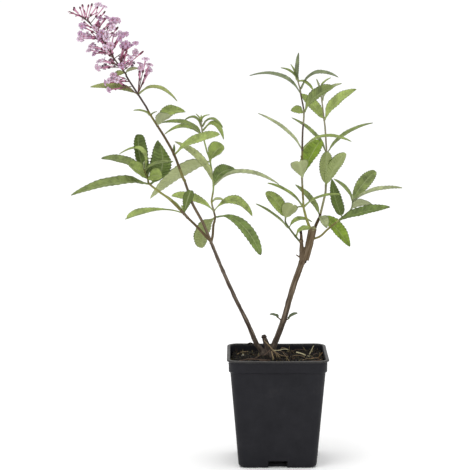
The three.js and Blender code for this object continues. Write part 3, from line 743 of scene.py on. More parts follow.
def giveGrain(piece, strands, block=4000):  # a remeshed skin takes the grain of the nearest limb
    rows = samplesOf(strands, 0.5)
    cores, sides, overs = (np.array([row[key] for row in rows]) for key in ("core", "sideways", "over"))
    runs = np.array([row["run"] for row in rows])
    radii = np.array([row["thickness"] for row in rows]) / mm
    points = np.empty(len(piece.data.vertices) * 3)
    piece.data.vertices.foreach_get("co", points)
    points = points.reshape(-1, 3) / mm
    grain = np.empty_like(points)
    for start in range(0, len(points), block):
        part = slice(start, start + block)
        away = np.linalg.norm(points[part][:, None] - cores[None], axis=2) - radii[None]
        near = away.argmin(axis=1)
        local = points[part] - cores[near]
        grain[part, 0] = (local * sides[near]).sum(axis=1) * mm
        grain[part, 1] = (local * overs[near]).sum(axis=1) * mm
        grain[part, 2] = runs[near]
    addAttribute(piece.data, "grain", "FLOAT_VECTOR", grain)


# Old wood: the crown with its cut stub, both stems and the two arms, grown together
crown = dict(
    place=(-8, 8), seat=94.3, burlRadius=9, burlHeight=5.6, burlDepth=0.85, burlSides=36, wideLobe=0.14,
    fineLobe=0.08, voxel=0.42,
    burlRings=[(0.8, -0.5), (1, -0.25), (1, 0), (0.97, 0.14), (0.86, 0.32), (0.7, 0.55), (0.45, 0.85)],
    lumpScale=170.0, lumpDepth=0.0009, ridgeScale=900.0, ridgeDepth=0.0007,
)
crownFoot = vec(*crown["place"], soil["moundTop"] - 2)
oldWood = dict(  # each from the tip of another limb or from its node "at", and without one from the crown
    leftButt=dict(steps=[[-5, 0, 4.5], [-5.5, -0.5, 7.5]], thick=[7, 4.2], rooted=2, outgrown=0.6),
    rightButt=dict(steps=[[3.2, 0, 5.5], [2.4, 0, 6]], thick=[8, 5.6], rooted=2, outgrown=0.6),
    leftStem=dict(
        on="leftButt", steps=[[-9, -2.5, 21.5], [-9, -2, 18.5], [-12, -2, 27], [-11, -1, 27]],
        thick=[4, 2.9], nodes=(1, 3), swell=1.12, flare=1.15, rooted=2, outgrown=0.6),
    rightStem=dict(
        on="rightButt",
        steps=[[7.9, -1.5, 21.5], [5, -2, 18.5], [4, -1.5, 14], [6.5, -1.5, 19], [3, -0.5, 7]],
        thick=[4.9, 5.6], nodes=(1, 4.2), swell=1.16, flare=1.1, rooted=2, outgrown=0.6),
    oldStub=dict(shift=(0, 0, 2), steps=[[-0.6, 0, 6.5], [-3.4, -0.4, 10.5]], thick=[7.6, 4], nodes=(2,)),
    thickArm=dict(
        on="rightStem", shift=(1.3, 0, -1), steps=[[2.9, -0.5, 12.5], [3.1, -0.5, 14.5]],
        thick=[6.4, 7.4], nodes=(1.1,), swell=1.05, rooted=1.5),
    shortArm=dict(
        on="rightStem", shift=(-1.9, 0, -1), steps=[[-0.5, -0.5, 8], [-0.4, -0.5, 7.5], [-0.5, 0, 10]],
        thick=[5.2, 2], nodes=(2,), swell=1.5),
    forkSpur=dict(on="rightStem", at=4.85, steps=[[-3.5, -1, 1], [-3.5, -1, 2.5]], thick=[1.6, 1.1]),
    frontRoot=dict(
        shift=(1.5, -4, 4), steps=[[0.6, -5, -1], [0, -6, -2.5], [-0.4, -6, -2.4]], thick=[3.6, 2.2],
        outgrown=1),
)
limbs = {}  # every limb of the plant, by its name


def growLimb(name, on=None, at=None, shift=(0, 0, 0), sunk=0, **plan):
    foot = crownFoot
    if on:
        node = limbs[on]["count"] if at is None else at
        foot = pointAt(limbs[on], node) - sunk * tangentAt(limbs[on], node)
    limbs[name] = limb(foot + vec(*shift), **plan)
    return limbs[name]


def strandsOf(plans, tints=("",)):  # each limb with the number of its tone
    return [(limbs[name], tints.index(limbs[name]["tone"]), limbs[name]["rooted"], limbs[name]["outgrown"])
            for name in plans]


def burlPiece():
    sides, rings = crown["burlSides"], []
    for share, height in crown["burlRings"]:
        for k in range(sides):
            angle = 2 * math.pi * k / sides
            lobe = 1 + crown["wideLobe"] * math.cos(3 * angle + 1) + crown["fineLobe"] * math.sin(5 * angle)
            radius = crown["burlRadius"] * share * lobe
            rings.append((crown["place"][0] + radius * math.cos(angle),
                          crown["place"][1] + radius * crown["burlDepth"] * math.sin(angle),
                          crown["seat"] + crown["burlHeight"] * height))
    return meshPiece("burl", rings, loftFaces(len(crown["burlRings"]), sides))


def makeOldWood():
    for name, plan in oldWood.items():
        growLimb(name, **plan)
    strands = strandsOf(oldWood)
    piece = strandPaths("old_bark", strands)
    bark = barkFinish("oldBark", barkTones, 700)
    overlay(bark, 0, 0.0, 0.03, 0.4, (112, 90, 52))  # more golden on the right
    overlay(bark, 2, 0.112, 0.094, 0.75, (40, 32, 29))  # and darker towards the bottom, near the compost
    settle(piece, strandTree("oldLimbs", {0: bark}, sides=22, scale=150.0, depth=0.0))
    burl = burlPiece()
    both = bmesh.new()
    both.from_mesh(piece.data)
    both.from_mesh(burl.data)
    both.to_mesh(piece.data)
    both.free()
    drop([burl])
    skin = piece.modifiers.new("skin", "REMESH")
    skin.mode = "VOXEL"
    skin.voxel_size = crown["voxel"] * mm
    settleModifiers(piece)
    settle(piece, roughenTree("barkLumps", crown["lumpScale"], crown["lumpDepth"], bark))
    giveGrain(piece, strands)
    settle(piece, roughenTree("barkRidges", crown["ridgeScale"], crown["ridgeDepth"], bark, grain=True))
    finishPiece(piece, ["root_crown", "left_stem", "right_stem", "thick_arm", "short_arm"])


makeOldWood()
print("old wood made")


# Young wood: the six boughs that the shoots grow on from, and the skins over old cuts
youngWood = dict(
    flowerBough=dict(
        on="leftStem", steps=[[-7, -1.5, 17], [-8.5, -2, 16], [-3.5, -1, 10], [-4, -1, 12]],
        thick=[2.7, 2.2], nodes=(3,), swell=1.15, tone="darkBrown", rooted=1.5, outgrown=0.4),
    westBough=dict(on="leftStem", steps=[[-12, -5, 13.5], [-8.5, -4, 9]], thick=[2.5, 2], tone="brown",
                   rooted=1.5, outgrown=0.4),
    middleBough=dict(
        on="leftStem", at=3.96, steps=[[1.5, 2.5, 6.5], [0.5, 3, 8], [1, 1.5, 3.5]], thick=[2.4, 2],
        nodes=(2,), swell=1.15, tone="brown", rooted=1.5, outgrown=0.4),
    innerBough=dict(
        on="thickArm", at=1.94, shift=(-1.8, -0.6, 0), steps=[[-3.5, -4, 9], [-2.5, -3, 9]],
        thick=[2.6, 2.1], tone="yellowGreen", rooted=2, outgrown=0.4),
    outerBough=dict(
        on="thickArm", at=1.9, shift=(1.6, 1, 0), steps=[[1.8, 1.5, 4.5], [2.5, 2.5, 5]],
        thick=[3, 2.6], tone="redBrown", rooted=2, outgrown=0.4),
    sideBough=dict(on="thickArm", at=1.3, steps=[[8.5, -3, 3.5], [6.5, -3, 6.5], [7.5, -2, 6.5]],
                   thick=[2, 1.7], tone="olive", rooted=1.5, outgrown=0.4),
    stubCap=dict(on="oldStub", sunk=1.2, steps=[[-0.3, 0, 1.4], [-0.2, 0, 0.9]], thick=[5.2, 3.4],
                 tone="char", rooted=0),
    armCap=dict(on="shortArm", shift=(0, 0, -3), steps=[[0, 0, 2.6], [0, 0, 0.9]], thick=[2.8, 1.6],
                tone="char", rooted=0),
    forkScar=dict(on="rightStem", at=4.6, shift=(2.1, -1.3, 1.5), steps=[[0.3, -0.4, -2.4], [-0.3, 0, -2]],
                  thick=[1.8, 1], tone="char", rooted=0),
    armKnot=dict(on="shortArm", at=2, shift=(-0.6, -1, -0.8), steps=[[0.6, -0.4, 0.9], [0.8, -0.2, 0.9]],
                 thick=[4.6, 3], tone="darkBrown", rooted=0),
    armTop=dict(on="thickArm", shift=(-0.2, -0.4, -1.2), steps=[[-0.3, -0.3, 1.3], [-0.4, -0.2, 0.8]],
                thick=[6.9, 5], tone="sand", rooted=0),
)


def makeYoungWood():
    for name, plan in youngWood.items():
        growLimb(name, **plan)
    tints = ("darkBrown", "brown", "olive", "redBrown", "char", "yellowGreen", "sand")
    finishes = barkFinishes("young", {name: youngTones[name] for name in tints}, 900, 0.3)
    piece = strandPaths("young_bark", strandsOf(youngWood, tints), step=0.5)
    settle(piece, strandTree("youngLimbs", finishes, sides=14, scale=900.0, depth=0.0004))
    boughs = ("flower", "west", "middle", "inner", "outer", "side")
    finishPiece(piece, [bough + "_bough" for bough in boughs])


makeYoungWood()
print("young wood made")


# Straws and loose roots on the compost: foot, steps, thickness, tone
straws = dict(
    tones=dict(pale=[(170, 162, 124), (206, 198, 162)], tan=[(106, 90, 66), (140, 122, 94)],
               root=[(66, 52, 44), (100, 82, 70)], dark=[(30, 26, 24), (44, 38, 34)],
               rust=[(98, 74, 50), (140, 112, 78)], stone=[(120, 118, 106), (150, 148, 134)]),
    rows=[
        [[18, 16, 94.6], [[5, -3, -0.8], [4, -4, -1.2], [4.6, -3.4, 0.2]], 1.4, "pale"],
        [[29, 14, 92.4], [[2, 0, 4], [2, 0, 4.4]], 0.9, "pale"],
        [[36, 0, 91.4], [[2.2, 0, 3], [2.3, 0, 3]], 0.9, "rust"],
        [[-31, 10, 92], [[0.6, 0, 0.8], [0.5, 0, 0.6]], 2.8, "stone"],
        [[32, 8, 92.8], [[3, 0, 2.2], [2.4, 1, -0.8]], 0.8, "root"],
        [[29, -6, 92.6], [[4, 2, 0.8], [5, -2, 0]], 0.9, "rust"],
        [[30, -14, 92.4], [[5, -3, 0.9], [4, 2, 0.2]], 0.9, "root"],
        [[34, -20, 92.2], [[3, 4, 1.2], [2, 5, 0]], 0.8, "rust"],
        [[-33, -22, 94.2], [[9, 1, 1], [9, -2, 0.2], [8, 1, -0.8]], 1.1, "root"],
        [[-16, -22, 94.2], [[7, -6, 0.3], [6, -7, -0.8]], 1, "root"],
        [[4, 28, 95.8], [[2, 0.5, 1], [3.4, 0, -1.2]], 0.7, "tan"],
        [[5.2, 10, 95.8], [[2.6, -14, -1], [2.8, -18, -1.6]], 0.55, "tan"],
        [[-35, -26, 94.4], [[7, 3, 1.2], [8, 8, -0.4], [5, 16, -0.6]], 1, "root"],
        [[-11.4, 3, 107.6], [[5.2, -4, -5], [2.6, -2.4, -3], [3.4, -2, -2.6], [2.4, -4, -2]], 0.8, "tan"],
        [[-9.6, 3.6, 106], [[4.6, -3, -4.6], [3.6, -2.4, -3.4], [1, -5, -3.6]], 0.8, "tan"],
        [[-3.4, -2, 99.8], [[4.6, -1, 0.2], [4.4, 1.4, 0.9], [4, 0.8, -0.6]], 0.8, "pale"],
        [[-4, -2, 99.4], [[3.4, -2.6, -1.4], [4, -2, -1.8], [6, -2, -1]], 0.9, "tan"],
        [[-6, -1.4, 100], [[-2.4, -3, -1.4], [-3.6, -3.4, -2.4]], 0.9, "root"],
        [[-5, -2, 98.6], [[0.6, -5, -2], [1, -7, -2.4]], 1.3, "tan"],
        [[1, 2, 99.4], [[4, -2, -1.4], [4.4, -3, -2.4]], 0.9, "root"],
        [[12, 0, 94], [[6, 3, 0.4], [6, -3, -0.4]], 0.6, "tan"],
        [[22, -12, 92.8], [[5, 4, 0.6], [6, 1, -0.3]], 0.6, "tan"],
        [[33, -34, 92.6], [[-4, 5, 1], [-6, 2, -0.6]], 0.8, "root"],
        [[36, -14, 92.2], [[-1, 6, 1.4], [-3, 6, 0]], 0.7, "root"],
        [[-30, 6, 92], [[7, 5, 0.6], [6, 8, 0]], 0.7, "root"],
        [[-22, -30, 92.6], [[9, 2, 0.5], [7, -3, -0.3]], 0.6, "root"],
        [[-26, 42.6, 97.2], [[2.4, 0.3, 1], [2.2, 0, -0.8]], 2, "dark"],
        [[14, 30, 93], [[5, 6, 0.7], [7, -1, -0.2]], 0.7, "root"],
        [[-36, 22, 91.6], [[4, 8, 0.6], [6, 3, 0]], 0.8, "tan"],
    ],
)


def makeStraws():
    names = list(straws["tones"])
    strands = [(limb(vec(*foot), steps, [thick, thick * 0.7]), names.index(tone), 0.3, 0.3)
               for foot, steps, thick, tone in straws["rows"]]
    piece = strandPaths("straws", strands, step=0.8)
    finishes = barkFinishes("straw", straws["tones"], 900, 0.4)
    settle(piece, strandTree("strawSkin", finishes, sides=8, scale=1100.0, depth=0.0004))
    finishPiece(piece, ["soil"])


makeStraws()
print("straws made")


# Leaves: a few templates in their own outline, bent and dealt out along the shoots
leafShape = dict(  # in shares of the leaf's length and half width, with its veins to a side
    toothDepth=0.15, toothPower=0.7, lean=0.1, veinWidth=0.1, petiole=0.07, petioleBreadth=0.11,
    skew=0.85, fold=0.42, roll=0.05, rollFrom=0.8, groove=0.07, grooveWidth=0.09, vein=0.07, puff=0.07,
    rib=2.2, ribWidth=0.13, ribFade=1.1, underVein=0.5, blade=0.34, ripple=0.06, waves=17.0, twist=0.25,
    phases=(0.4, 0.72), onVein=1.5, toothFade=(0.02, 0.15), openFade=(0.0, 0.1), leanPower=1.2,
    leanFade=0.6, foldPower=1.3, nearTip=0.995, nearFoot=0.01, bodyReach=1.05, flat=0.25,
    petioleSides=(-0.9, 1.2), coreDepth=-0.1,
    shortLength=18, rooted=1.0,  # millimetres
    sizes=dict(long=(13, [0.05, 0.22, 0.42, 0.66, 0.88, 1.0], [0.1, 0.35, 0.65, 0.88]),
               short=(6, [0.08, 0.4, 0.84, 1.0], [0.14, 0.5, 0.84])), seed=23,
)
leafOutlines = dict(  # fullness to the foot and to the tip
    lance=(0.62, 0.78), full=(0.42, 0.8), oval=(0.6, 0.56), blunt=(0.55, 0.4), club=(2.2, 0.38),
    late=(0.9, 0.5), strap=(0.36, 0.3),
)
leafTints = dict(  # upper side, and how far the underside fades to pale down
    deep=((88, 105, 46), 0.2), dark=((106, 124, 64), 0.3), mid=((120, 134, 76), 0.45),
    soft=((138, 154, 82), 0.45), fresh=((152, 168, 94), 0.45), pale=((165, 174, 118), 0.5),
    grey=((154, 162, 120), 0.5), bright=((120, 144, 44), 0.35), olive=((146, 155, 94), 0.5),
    dusky=((92, 104, 76), 0.3), moss=((114, 124, 92), 0.4),
)
leafDown = (178, 185, 144)
tintNames = list(leafTints)
kindNames = [(kind, size) for size in ("long", "short") for kind in leafOutlines]


def leafParts(rows, top, under):
    upper = 2 * top
    count = upper + 2 * under + 2
    parts = []  # 0 upper side, 1 underside, 2 rib, 3 side veins, 4 margin, painted darker as shade along the edge
    for order in range(count * rows + 1):
        row, column = divmod(order, count)
        if column in (top - 1, top, upper + under, upper + under + 1):
            parts.append(2)
        elif column in (0, upper - 1, upper, count - 1):
            parts.append(4)
        elif 3 <= row < rows - 1 and (row - 3) % 4 == 0:
            parts.append(3)
        else:
            parts.append(0 if column < upper else 1)
    return parts


def leafTemplate(name, outline, veins, topHalf, underHalf):
    s = leafShape
    share = 1 - s["petiole"]
    foot, point = outline
    widest = foot / (foot + point)
    most = widest ** foot * (1 - widest) ** point
    rows = [(0.0, 0.0), (0.3, 0.0), (0.7, 0.0)]  # petiole, then four rows for each vein
    phases = (0.0, s["veinWidth"], *s["phases"])
    rows += [(1.0, (vein + phase) / veins) for vein in range(veins) for phase in phases]
    columns = [(x, 0) for x in [-c for c in topHalf[::-1]] + [0] + topHalf]
    columns += [(x, 1) for x in underHalf[::-1] + [0] + [-c for c in underHalf]]
    points, marks = [], []
    for grown, b in rows:
        phase = (b * veins) % 1
        onVein = phase < s["veinWidth"] * s["onVein"]
        tooth = 0 if onVein else (1 - phase) ** s["toothPower"]
        bite = 1 - s["toothDepth"] * tooth * float(smoothstep(b, *s["toothFade"]))
        opened = float(smoothstep(b, *s["openFade"]))
        for across, under in columns:
            side = abs(across)
            lean = s["lean"] * side ** s["leanPower"]
            lean = lean * math.sin(math.pi * b) ** s["leanFade"] if b > 0 else 0
            blade = min(s["nearTip"], b + lean)
            t = s["petiole"] * grown + share * blade
            full = blade ** foot * (1 - blade) ** point / most if blade > 0 else 0
            half = max(full * (1 + (bite - 1) * side ** 4), s["petioleBreadth"] * (1 if b < 0.5 else 0))
            grip = max(t, s["nearFoot"])
            u = grip ** s["skew"]
            slope = (1 - 2 * u) * s["skew"] * grip ** (s["skew"] - 1)
            body = math.sin(math.pi * min(1, side * s["bodyReach"]))
            shape = s["fold"] * side ** s["foldPower"] - s["roll"] * float(smoothstep(side, s["rollFrom"], 1))
            shape += (-s["vein"] if onVein else s["puff"]) * body
            shape -= s["groove"] * math.exp(-((side / s["grooveWidth"]) ** 2)) * (1 - under)
            thick = under * (1 + s["rib"] * (s["ribFade"] - t) * math.exp(-((side / s["ribWidth"]) ** 2)))
            thick += under * (s["underVein"] * body if onVein else 0)
            points.append((across * half, t, under * s["coreDepth"]))
            marks.append(dict(station=t, bow=u * (1 - u), slope=slope, breadth=across * half,
                              relief=shape * opened * (s["flat"] + (1 - s["flat"]) * full),
                              under=thick + (1 - opened) * s["petioleSides"][under] * (1 - side)))
    points.append((0, 1.0, 0))
    marks.append(dict(station=1.0, bow=0.0, slope=-s["skew"], breadth=0.0, relief=0.0, under=0.5))
    count = len(columns)
    faces = loftFaces(len(rows), count, closeEnd=False)
    last = (len(rows) - 1) * count
    faces += [(last + k, last + (k + 1) % count, len(points) - 1) for k in range(count)]
    piece = meshPiece(name, np.array(points) / mm, faces)
    for key in marks[0]:
        addAttribute(piece.data, key, "FLOAT", [mark[key] for mark in marks])
    addAttribute(piece.data, "part", "INT", leafParts(len(rows), len(topHalf), len(underHalf)), "FACE")
    return piece


def leafTree(templates, finishes):
    inputs = [("Ripple", "Float", leafShape["ripple"]), ("Blade", "Float", leafShape["blade"] * mm)]
    tree, source, out = newTree("leafPlacer", inputs)
    real = placeKinds(tree, source["Geometry"], templates)
    root, chord, lift, across = (attribute(tree, key, "FLOAT_VECTOR") for key in
                                 ("root", "chord", "lift", "across"))
    station, breadth = attribute(tree, "station"), attribute(tree, "breadth")
    spine = vectorMath(tree, "ADD", root, scaled(tree, chord, station))
    spine = vectorMath(tree, "ADD", spine, scaled(tree, lift, attribute(tree, "bow")))
    spine = vectorMath(tree, "ADD", spine, scaled(tree, across, breadth))
    ahead = vectorMath(tree, "ADD", chord, scaled(tree, lift, attribute(tree, "slope")))
    face = vectorMath(tree, "NORMALIZE", vectorMath(tree, "CROSS_PRODUCT", across, ahead))
    width = put(tree, "ShaderNodeVectorMath", {0: across}, output=1, operation="LENGTH")
    turned = number(tree, "MULTIPLY", number(tree, "MULTIPLY", attribute(tree, "twist"), station), breadth)
    swing = number(tree, "MULTIPLY_ADD", station, leafShape["waves"], attribute(tree, "phase"))
    ripple = number(tree, "MULTIPLY", number(tree, "MULTIPLY", breadth, breadth), source["Ripple"])
    rise = number(tree, "ADD", attribute(tree, "relief"), turned)
    rise = number(tree, "ADD", rise, number(tree, "MULTIPLY", number(tree, "SINE", swing), ripple))
    down = number(tree, "MULTIPLY", attribute(tree, "under"), source["Blade"])
    height = number(tree, "SUBTRACT", number(tree, "MULTIPLY", rise, width), down)
    position = vectorMath(tree, "ADD", spine, scaled(tree, face, height))
    moved = put(tree, "GeometryNodeSetPosition", {"Geometry": real, "Position": position})
    tree.links.new(dealByPart(tree, moved, 5, finishes), out.inputs[0])
    return tree


def leafFinishes():
    finishes = []
    for name, (tone, fade) in leafTints.items():
        label = capital(name)
        down, ribs, veins = (between(tone, leafDown, share) for share in (fade, 0.55, 0.32))
        finishes += [
            mottled("leaf" + label, [shade(tone, 0.77), tone, shade(tone, 1.17)], 150, 0.55, pores=2400,
                    relief=0.4, depth=0.0004, specular=0.3),
            mottled("down" + label, [shade(down, 0.93), down], 160, 0.85, pores=2600, relief=0.3,
                    specular=0.15, sheen=0.15),
            mottled("rib" + label, [shade(ribs, 0.94), ribs], 300, 0.7, specular=0.2),
            mottled("vein" + label, [shade(veins, 0.95), veins], 200, 0.7, specular=0.2),
            # the margin strip is painted darker than the leaf, a painted shade along its edge
            mottled("margin" + label, [shade(tone, 0.7), shade(tone, 0.84)], 300, 0.7, specular=0.2),
        ]
    return dict(enumerate(finishes))


def leafSpot(stem, row, random):  # what the placing tree needs to know of one leaf
    node, heading, out, rise, arch, show, slim, tint, *kind = row
    root = pointAt(stem, node)
    if node == stem["count"]:
        root = root - tangentAt(stem, node) * leafShape["rooted"]
    chord = reach(heading, out, rise)
    length = np.linalg.norm(chord)
    along = chord / length
    lift = unit(up - along * up.dot(along))
    side = np.cross(along, lift)
    turn = math.radians(show) * (-1 if side.dot(front) >= 0 else 1)
    across = side * math.cos(turn) + lift * math.sin(turn)
    size = "long" if length >= leafShape["shortLength"] else "short"
    twist = leafShape["twist"]
    return dict(root=root * mm, chord=chord * mm, lift=lift * 4 * arch * length * mm,
                across=across * slim * length / 2 * mm, twist=random(-twist, twist), phase=random(0, 6.28),
                tint=tintNames.index(tint), kind=kindNames.index((*(kind or ["lance"]), size)))


# Shoots: [node, heading, out, rise, arch, show, width share, tint] for each leaf, as in the source
shoots = dict(
    west_shoot=dict(
        on="westBough", thick=[2.6, 1.3],
        bark=["darkBrown", 0, "olive", 1.3, "yellowGreen", 1.9, "olive", 3.6],
        steps=[[-2.5, -1.5, 3], [-12.5, -6, 13.5], [-9.5, -4, 7.5], [-8, -3.5, 7], [-1.7, -1, 5],
               [-3, -1.5, 8]],
        leaves=[
            [1, 150, 61, -7, 0.088, 50, 0.18, "fresh", "club"],
            [1, 300, 12, 22, 0.05, -30, 0.37, "deep", "late"],
            [1, 158, 20, 17, 0.04, 4, 0.17, "soft"], [1, 110, 8, 7, 0.1, 0, 0.31, "soft"],
            [4, 212, 77, -6, 0.072, 30, 0.165, "mid", "full"], [4, 42, 10, 38, -0.26, 30, 0.56, "dark"],
            [5, 215, 20, 13, 0.05, 60, 0.66, "soft", "oval"],
            [5, 318, 18, 2, 0.12, 55, 0.75, "soft", "oval"],
            [5.4, 145, 50, 12, 0.1, 32, 0.2, "mid", "oval"],
            [5.2, 128, 13, 36.5, -0.1, 0, 0.36, "deep", "strap"],
            [5.7, 152, 26, 15, 0.5, 20, 0.2, "fresh"], [5, 45, 8, 13, 0.1, 0, 0.25, "dark"],
            [6, 30, 6, 6, 0.1, 0, 0.22, "dark"], [6, 20, 6, 11, 0.25, 0, 0.22, "grey"],
            [6, 350, 26, 8, 0.1, 35, 0.2, "mid"],
        ]),
    flower_shoot=dict(
        on="flowerBough", thick=[2.6, 1.8], bark=["olive", 0, "brown", 1.4, "olive", 4.2, "dusk", 5.5],
        steps=[[-1.5, -0.5, 3], [-7.5, -1, 20], [-8, -1.5, 15], [-6.5, -1, 10.5], [-6, -0.5, 9.5],
               [-3.8, -0.5, 7.3]],
        leaves=[
            [2, 90, 3, 9, 0, 0, 0.24, "deep"], [2, 320, 53, 20, 0.065, 50, 0.185, "fresh", "oval"],
            [4, 40, 31, 11, 0.21, 50, 0.36, "soft", "oval"],
            [4, 308, 19, 10, 0.1, -20, 0.6, "grey", "oval"],
            [5, 185, 15, 4, 0.12, 4, 0.24, "soft"], [5, 10, 6, 3, 0.1, 0, 0.3, "soft"],
        ]),
    middle_shoot_low=dict(
        on="middleBough", thick=[1.9, 1.5],
        bark=["brown", 0, "greyBrown", 1.8, "yellowGreen", 2.6, "green", 3.6],
        steps=[[0.5, 1.5, 3.5], [-1.1, 2.5, 5], [-2, 5, 8.5], [1.5, 7, 13.5], [-3, 8, 21], [-3, 3, 9]],
        leaves=[
            [1, 318, 54.5, -29, 0.185, 45, 0.18, "dark", "late"],
            [1, 138, 16, -29, 0.14, -10, 0.55, "soft", "blunt"],
            [2, 150, 44, 12, 0.1, 40, 0.23, "fresh", "late"],
            [2, 38, 43.5, -7, 0.26, 50, 0.27, "fresh", "late"],
            [3, 350, 12, 1, 0.15, 35, 0.34, "pale"], [4, 150, 41, 38, 0.14, 40, 0.135, "pale"],
            [4, 45, 27, 13, 0.19, 40, 0.48, "dark", "oval"],
            [4, 318, 78, 6, 0.15, 30, 0.088, "grey", "full"],
            [5, 350, 12, 15, 0.12, 60, 0.8, "soft", "late"],
            [5, 152, 63, -37, 0.08, -50, 0.2, "pale", "full"],
        ]),
    middle_shoot_top=dict(
        on="middle_shoot_low", thick=[1.5, 1.2], bark=["green", 0, "greyBrown", 1.3],
        steps=[[-3.5, 4, 13.5], [-1.3, 2, 8], [-0.5, 1, 5]],
        leaves=[
            [1, 205, 41, 13, 0.145, 35, 0.17, "mid", "full"], [1, 150, 41, 0, 0.2, 35, 0.2, "soft", "full"],
            [1.5, 328, 23, -7, 0.44, 35, 0.26, "soft"], [2, 152, 21, 3, 0.35, 20, 0.19, "mid"],
            [2, 332, 22, 0, 0.35, 20, 0.2, "mid"], [3, 170, 5, 8, 0.1, 20, 0.24, "fresh"],
            [3, 8, 8, 7, 0.25, 15, 0.2, "soft"], [3, 90, 3, 7, 0, 0, 0.27, "fresh"],
        ]),
    crossing_shoot=dict(
        on="shortArm", at=1.8, thick=[1.9, 1.3], bark=["sage", 0],
        steps=[[-5.5, -4, 6.5], [-6, -5, 8.5], [-3, -3, 5.5], [0, -2, 4]],
        leaves=[
            [1, 318, 17, 8, 0.17, 50, 0.38, "fresh", "blunt"], [2, 210, 34, 23, 0.04, 20, 0.12, "mid"],
            [2, 38, 27, 3, 0.2, 30, 0.2, "soft"], [4, 160, 18, 23, 0.08, 60, 0.42, "soft", "oval"],
            [4, 300, 13, 13, 0.1, -30, 0.8, "olive", "oval"],
        ]),
    inner_shoot_low=dict(
        on="innerBough", thick=[2, 1.8], bark=["yellowGreen", 0, "olive", 1.4, "greyBrown", 2.2],
        steps=[[-0.6, -1.5, 3.5], [-1.2, -5, 17], [-0.5, -2.5, 9], [-0.1, -3, 12]],
        leaves=[
            [1, 216, 40, 23, 0.075, 30, 0.14, "soft"], [1, 325, 39, 13, 0.09, 20, 0.11, "soft"],
            [1, 180, 8, -2, 0.1, 0, 0.28, "soft"], [3, 258, 15, 15.5, 0.05, -20, 0.76, "pale", "late"],
            [3, 54, 28, 31, 0.06, 10, 0.42, "bright", "late"],
        ]),
    inner_shoot_top=dict(
        on="inner_shoot_low", thick=[1.8, 1.2],
        bark=["olive", 0, "plum", 0.9, "greyBrown", 2.4, "plum", 3.2, "greyBrown", 4.4],
        steps=[[0, -2, 13.5], [0.2, -3, 15.5], [0.9, -3, 17], [-2.6, -2, 14.5], [-0.8, -1, 5.5],
               [-2.5, -1, 9]],
        leaves=[
            [1, 147, 46, 30, 0.08, 20, 0.08, "grey"], [1, 324, 51, 9, 0.16, 25, 0.095, "soft"],
            [3, 322, 32, 23, 0.11, 65, 0.37, "mid", "oval"], [3, 205, 13, 2, 0.1, 60, 0.62, "soft"],
            [4.3, 145, 54, 14, 0.16, 25, 0.1, "moss"], [5, 325, 39, 11.5, 0.235, 35, 0.15, "moss"],
            [6, 30, 1, 24, 0.02, 10, 0.22, "moss"], [6, 150, 7, 14, 0.05, 0, 0.22, "soft"],
            [6, 190, 15, 11, 0.14, 30, 0.24, "mid"], [6, 335, 15, -9, 0.14, 25, 0.24, "soft"],
        ]),
    outer_shoot_low=dict(
        on="outerBough", thick=[2.2, 1.8], bark=["redBrown", 0, "sand", 1.2, "greyBrown", 2.6],
        steps=[[1, 1, 2.5], [2.5, 3.5, 9.5], [2.5, 3.5, 10], [0.6, 2.5, 6.5], [1, 5, 17.5], [-0.1, 1.5, 4]],
        leaves=[
            [1, 147, 26, 26.5, 0.08, 25, 0.18, "mid"], [1, 42, 38, -31, 0.065, 85, 0.27, "bright"],
            [1, 300, 11, -10, 0.15, 20, 0.6, "grey"], [4, 272, 9, 31, 0.05, 0, 0.4, "soft", "oval"],
            [4, 332, 19, 30, 0.05, -40, 0.37, "fresh", "oval"], [4, 95, 24, 20, 0.08, 0, 0.26, "soft"],
        ]),
    outer_shoot_top=dict(
        on="outer_shoot_low", thick=[1.8, 1.2], bark=["yellowGreen", 0, "greyBrown", 1],
        steps=[[0, 2, 6.5], [-1.2, 5, 22], [-0.8, 2, 7.5], [-2, 4, 17], [-1.7, 3, 12]],
        leaves=[
            [1, 145, 38, 31, 0.1, 20, 0.1, "mid"], [1, 37, 55, 25.5, 0.1, 20, 0.085, "mid"],
            [3, 146, 25, 23, 0.06, 50, 0.29, "soft"], [3, 335, 31, 28.5, 0.1, 60, 0.3, "fresh"],
            [5, 185, 3.5, 9, 0, 20, 0.4, "grey"], [5, 8, 10, 10, 0.12, 20, 0.2, "soft"],
            [4, 350, 18, 16, 0.16, 40, 0.24, "grey"],
        ]),
    side_shoot=dict(
        on="sideBough", thick=[1.6, 1.2], bark=["yellowGreen", 0, "sage", 1.2],
        steps=[[2, -1, 2], [6, -3, 5.5], [5, -2.5, 5.5], [1.1, -1, 8]],
        leaves=[
            [1.6, 115, 21, 32, -0.08, 10, 0.29, "deep", "full"], [1, 325, 53, 15, 0.035, 50, 0.19, "dark"],
            [3, 330, 22, 3, 0.15, -40, 0.44, "grey", "full"],
            [4, 41, 28, 24.5, 0.06, 50, 0.33, "mid", "oval"],
            [4, 322, 52, 14.5, 0.075, 30, 0.14, "grey"], [4, 150, 19, 18.5, 0.11, 20, 0.16, "mid"],
            [4, 100, 1, 6, 0, 0, 0.31, "grey"],
        ]),
    sprig_left=dict(
        on="rightStem", at=1, thick=[1.3, 1], bark=["brown", 0],
        steps=[[-3.5, -1, 2.2], [-1.5, -0.5, 2]],
        leaves=[[2, 182, 8, 3, 0.12, 30, 0.36, "dusky"], [2, 240, 4, 4, 0.1, 0, 0.34, "dusky"]]),
    sprig_right=dict(
        on="rightStem", at=1.05, thick=[1.3, 1], bark=["brown", 0],
        steps=[[3.2, -1, 0.6], [1.2, -0.5, 1.2]],
        leaves=[[2, 355, 9, 5.5, 0.1, 30, 0.36, "dusky"], [2, 300, 4, 3, 0.1, 0, 0.34, "dusky"]]),
)


def growShoots():
    for name, plan in shoots.items():
        nodes = tuple({row[0] for row in plan["leaves"] if row[0] < len(plan["steps"])})
        growLimb(name, plan["on"], plan.get("at"), steps=plan["steps"], thick=plan["thick"], nodes=nodes)


growShoots()


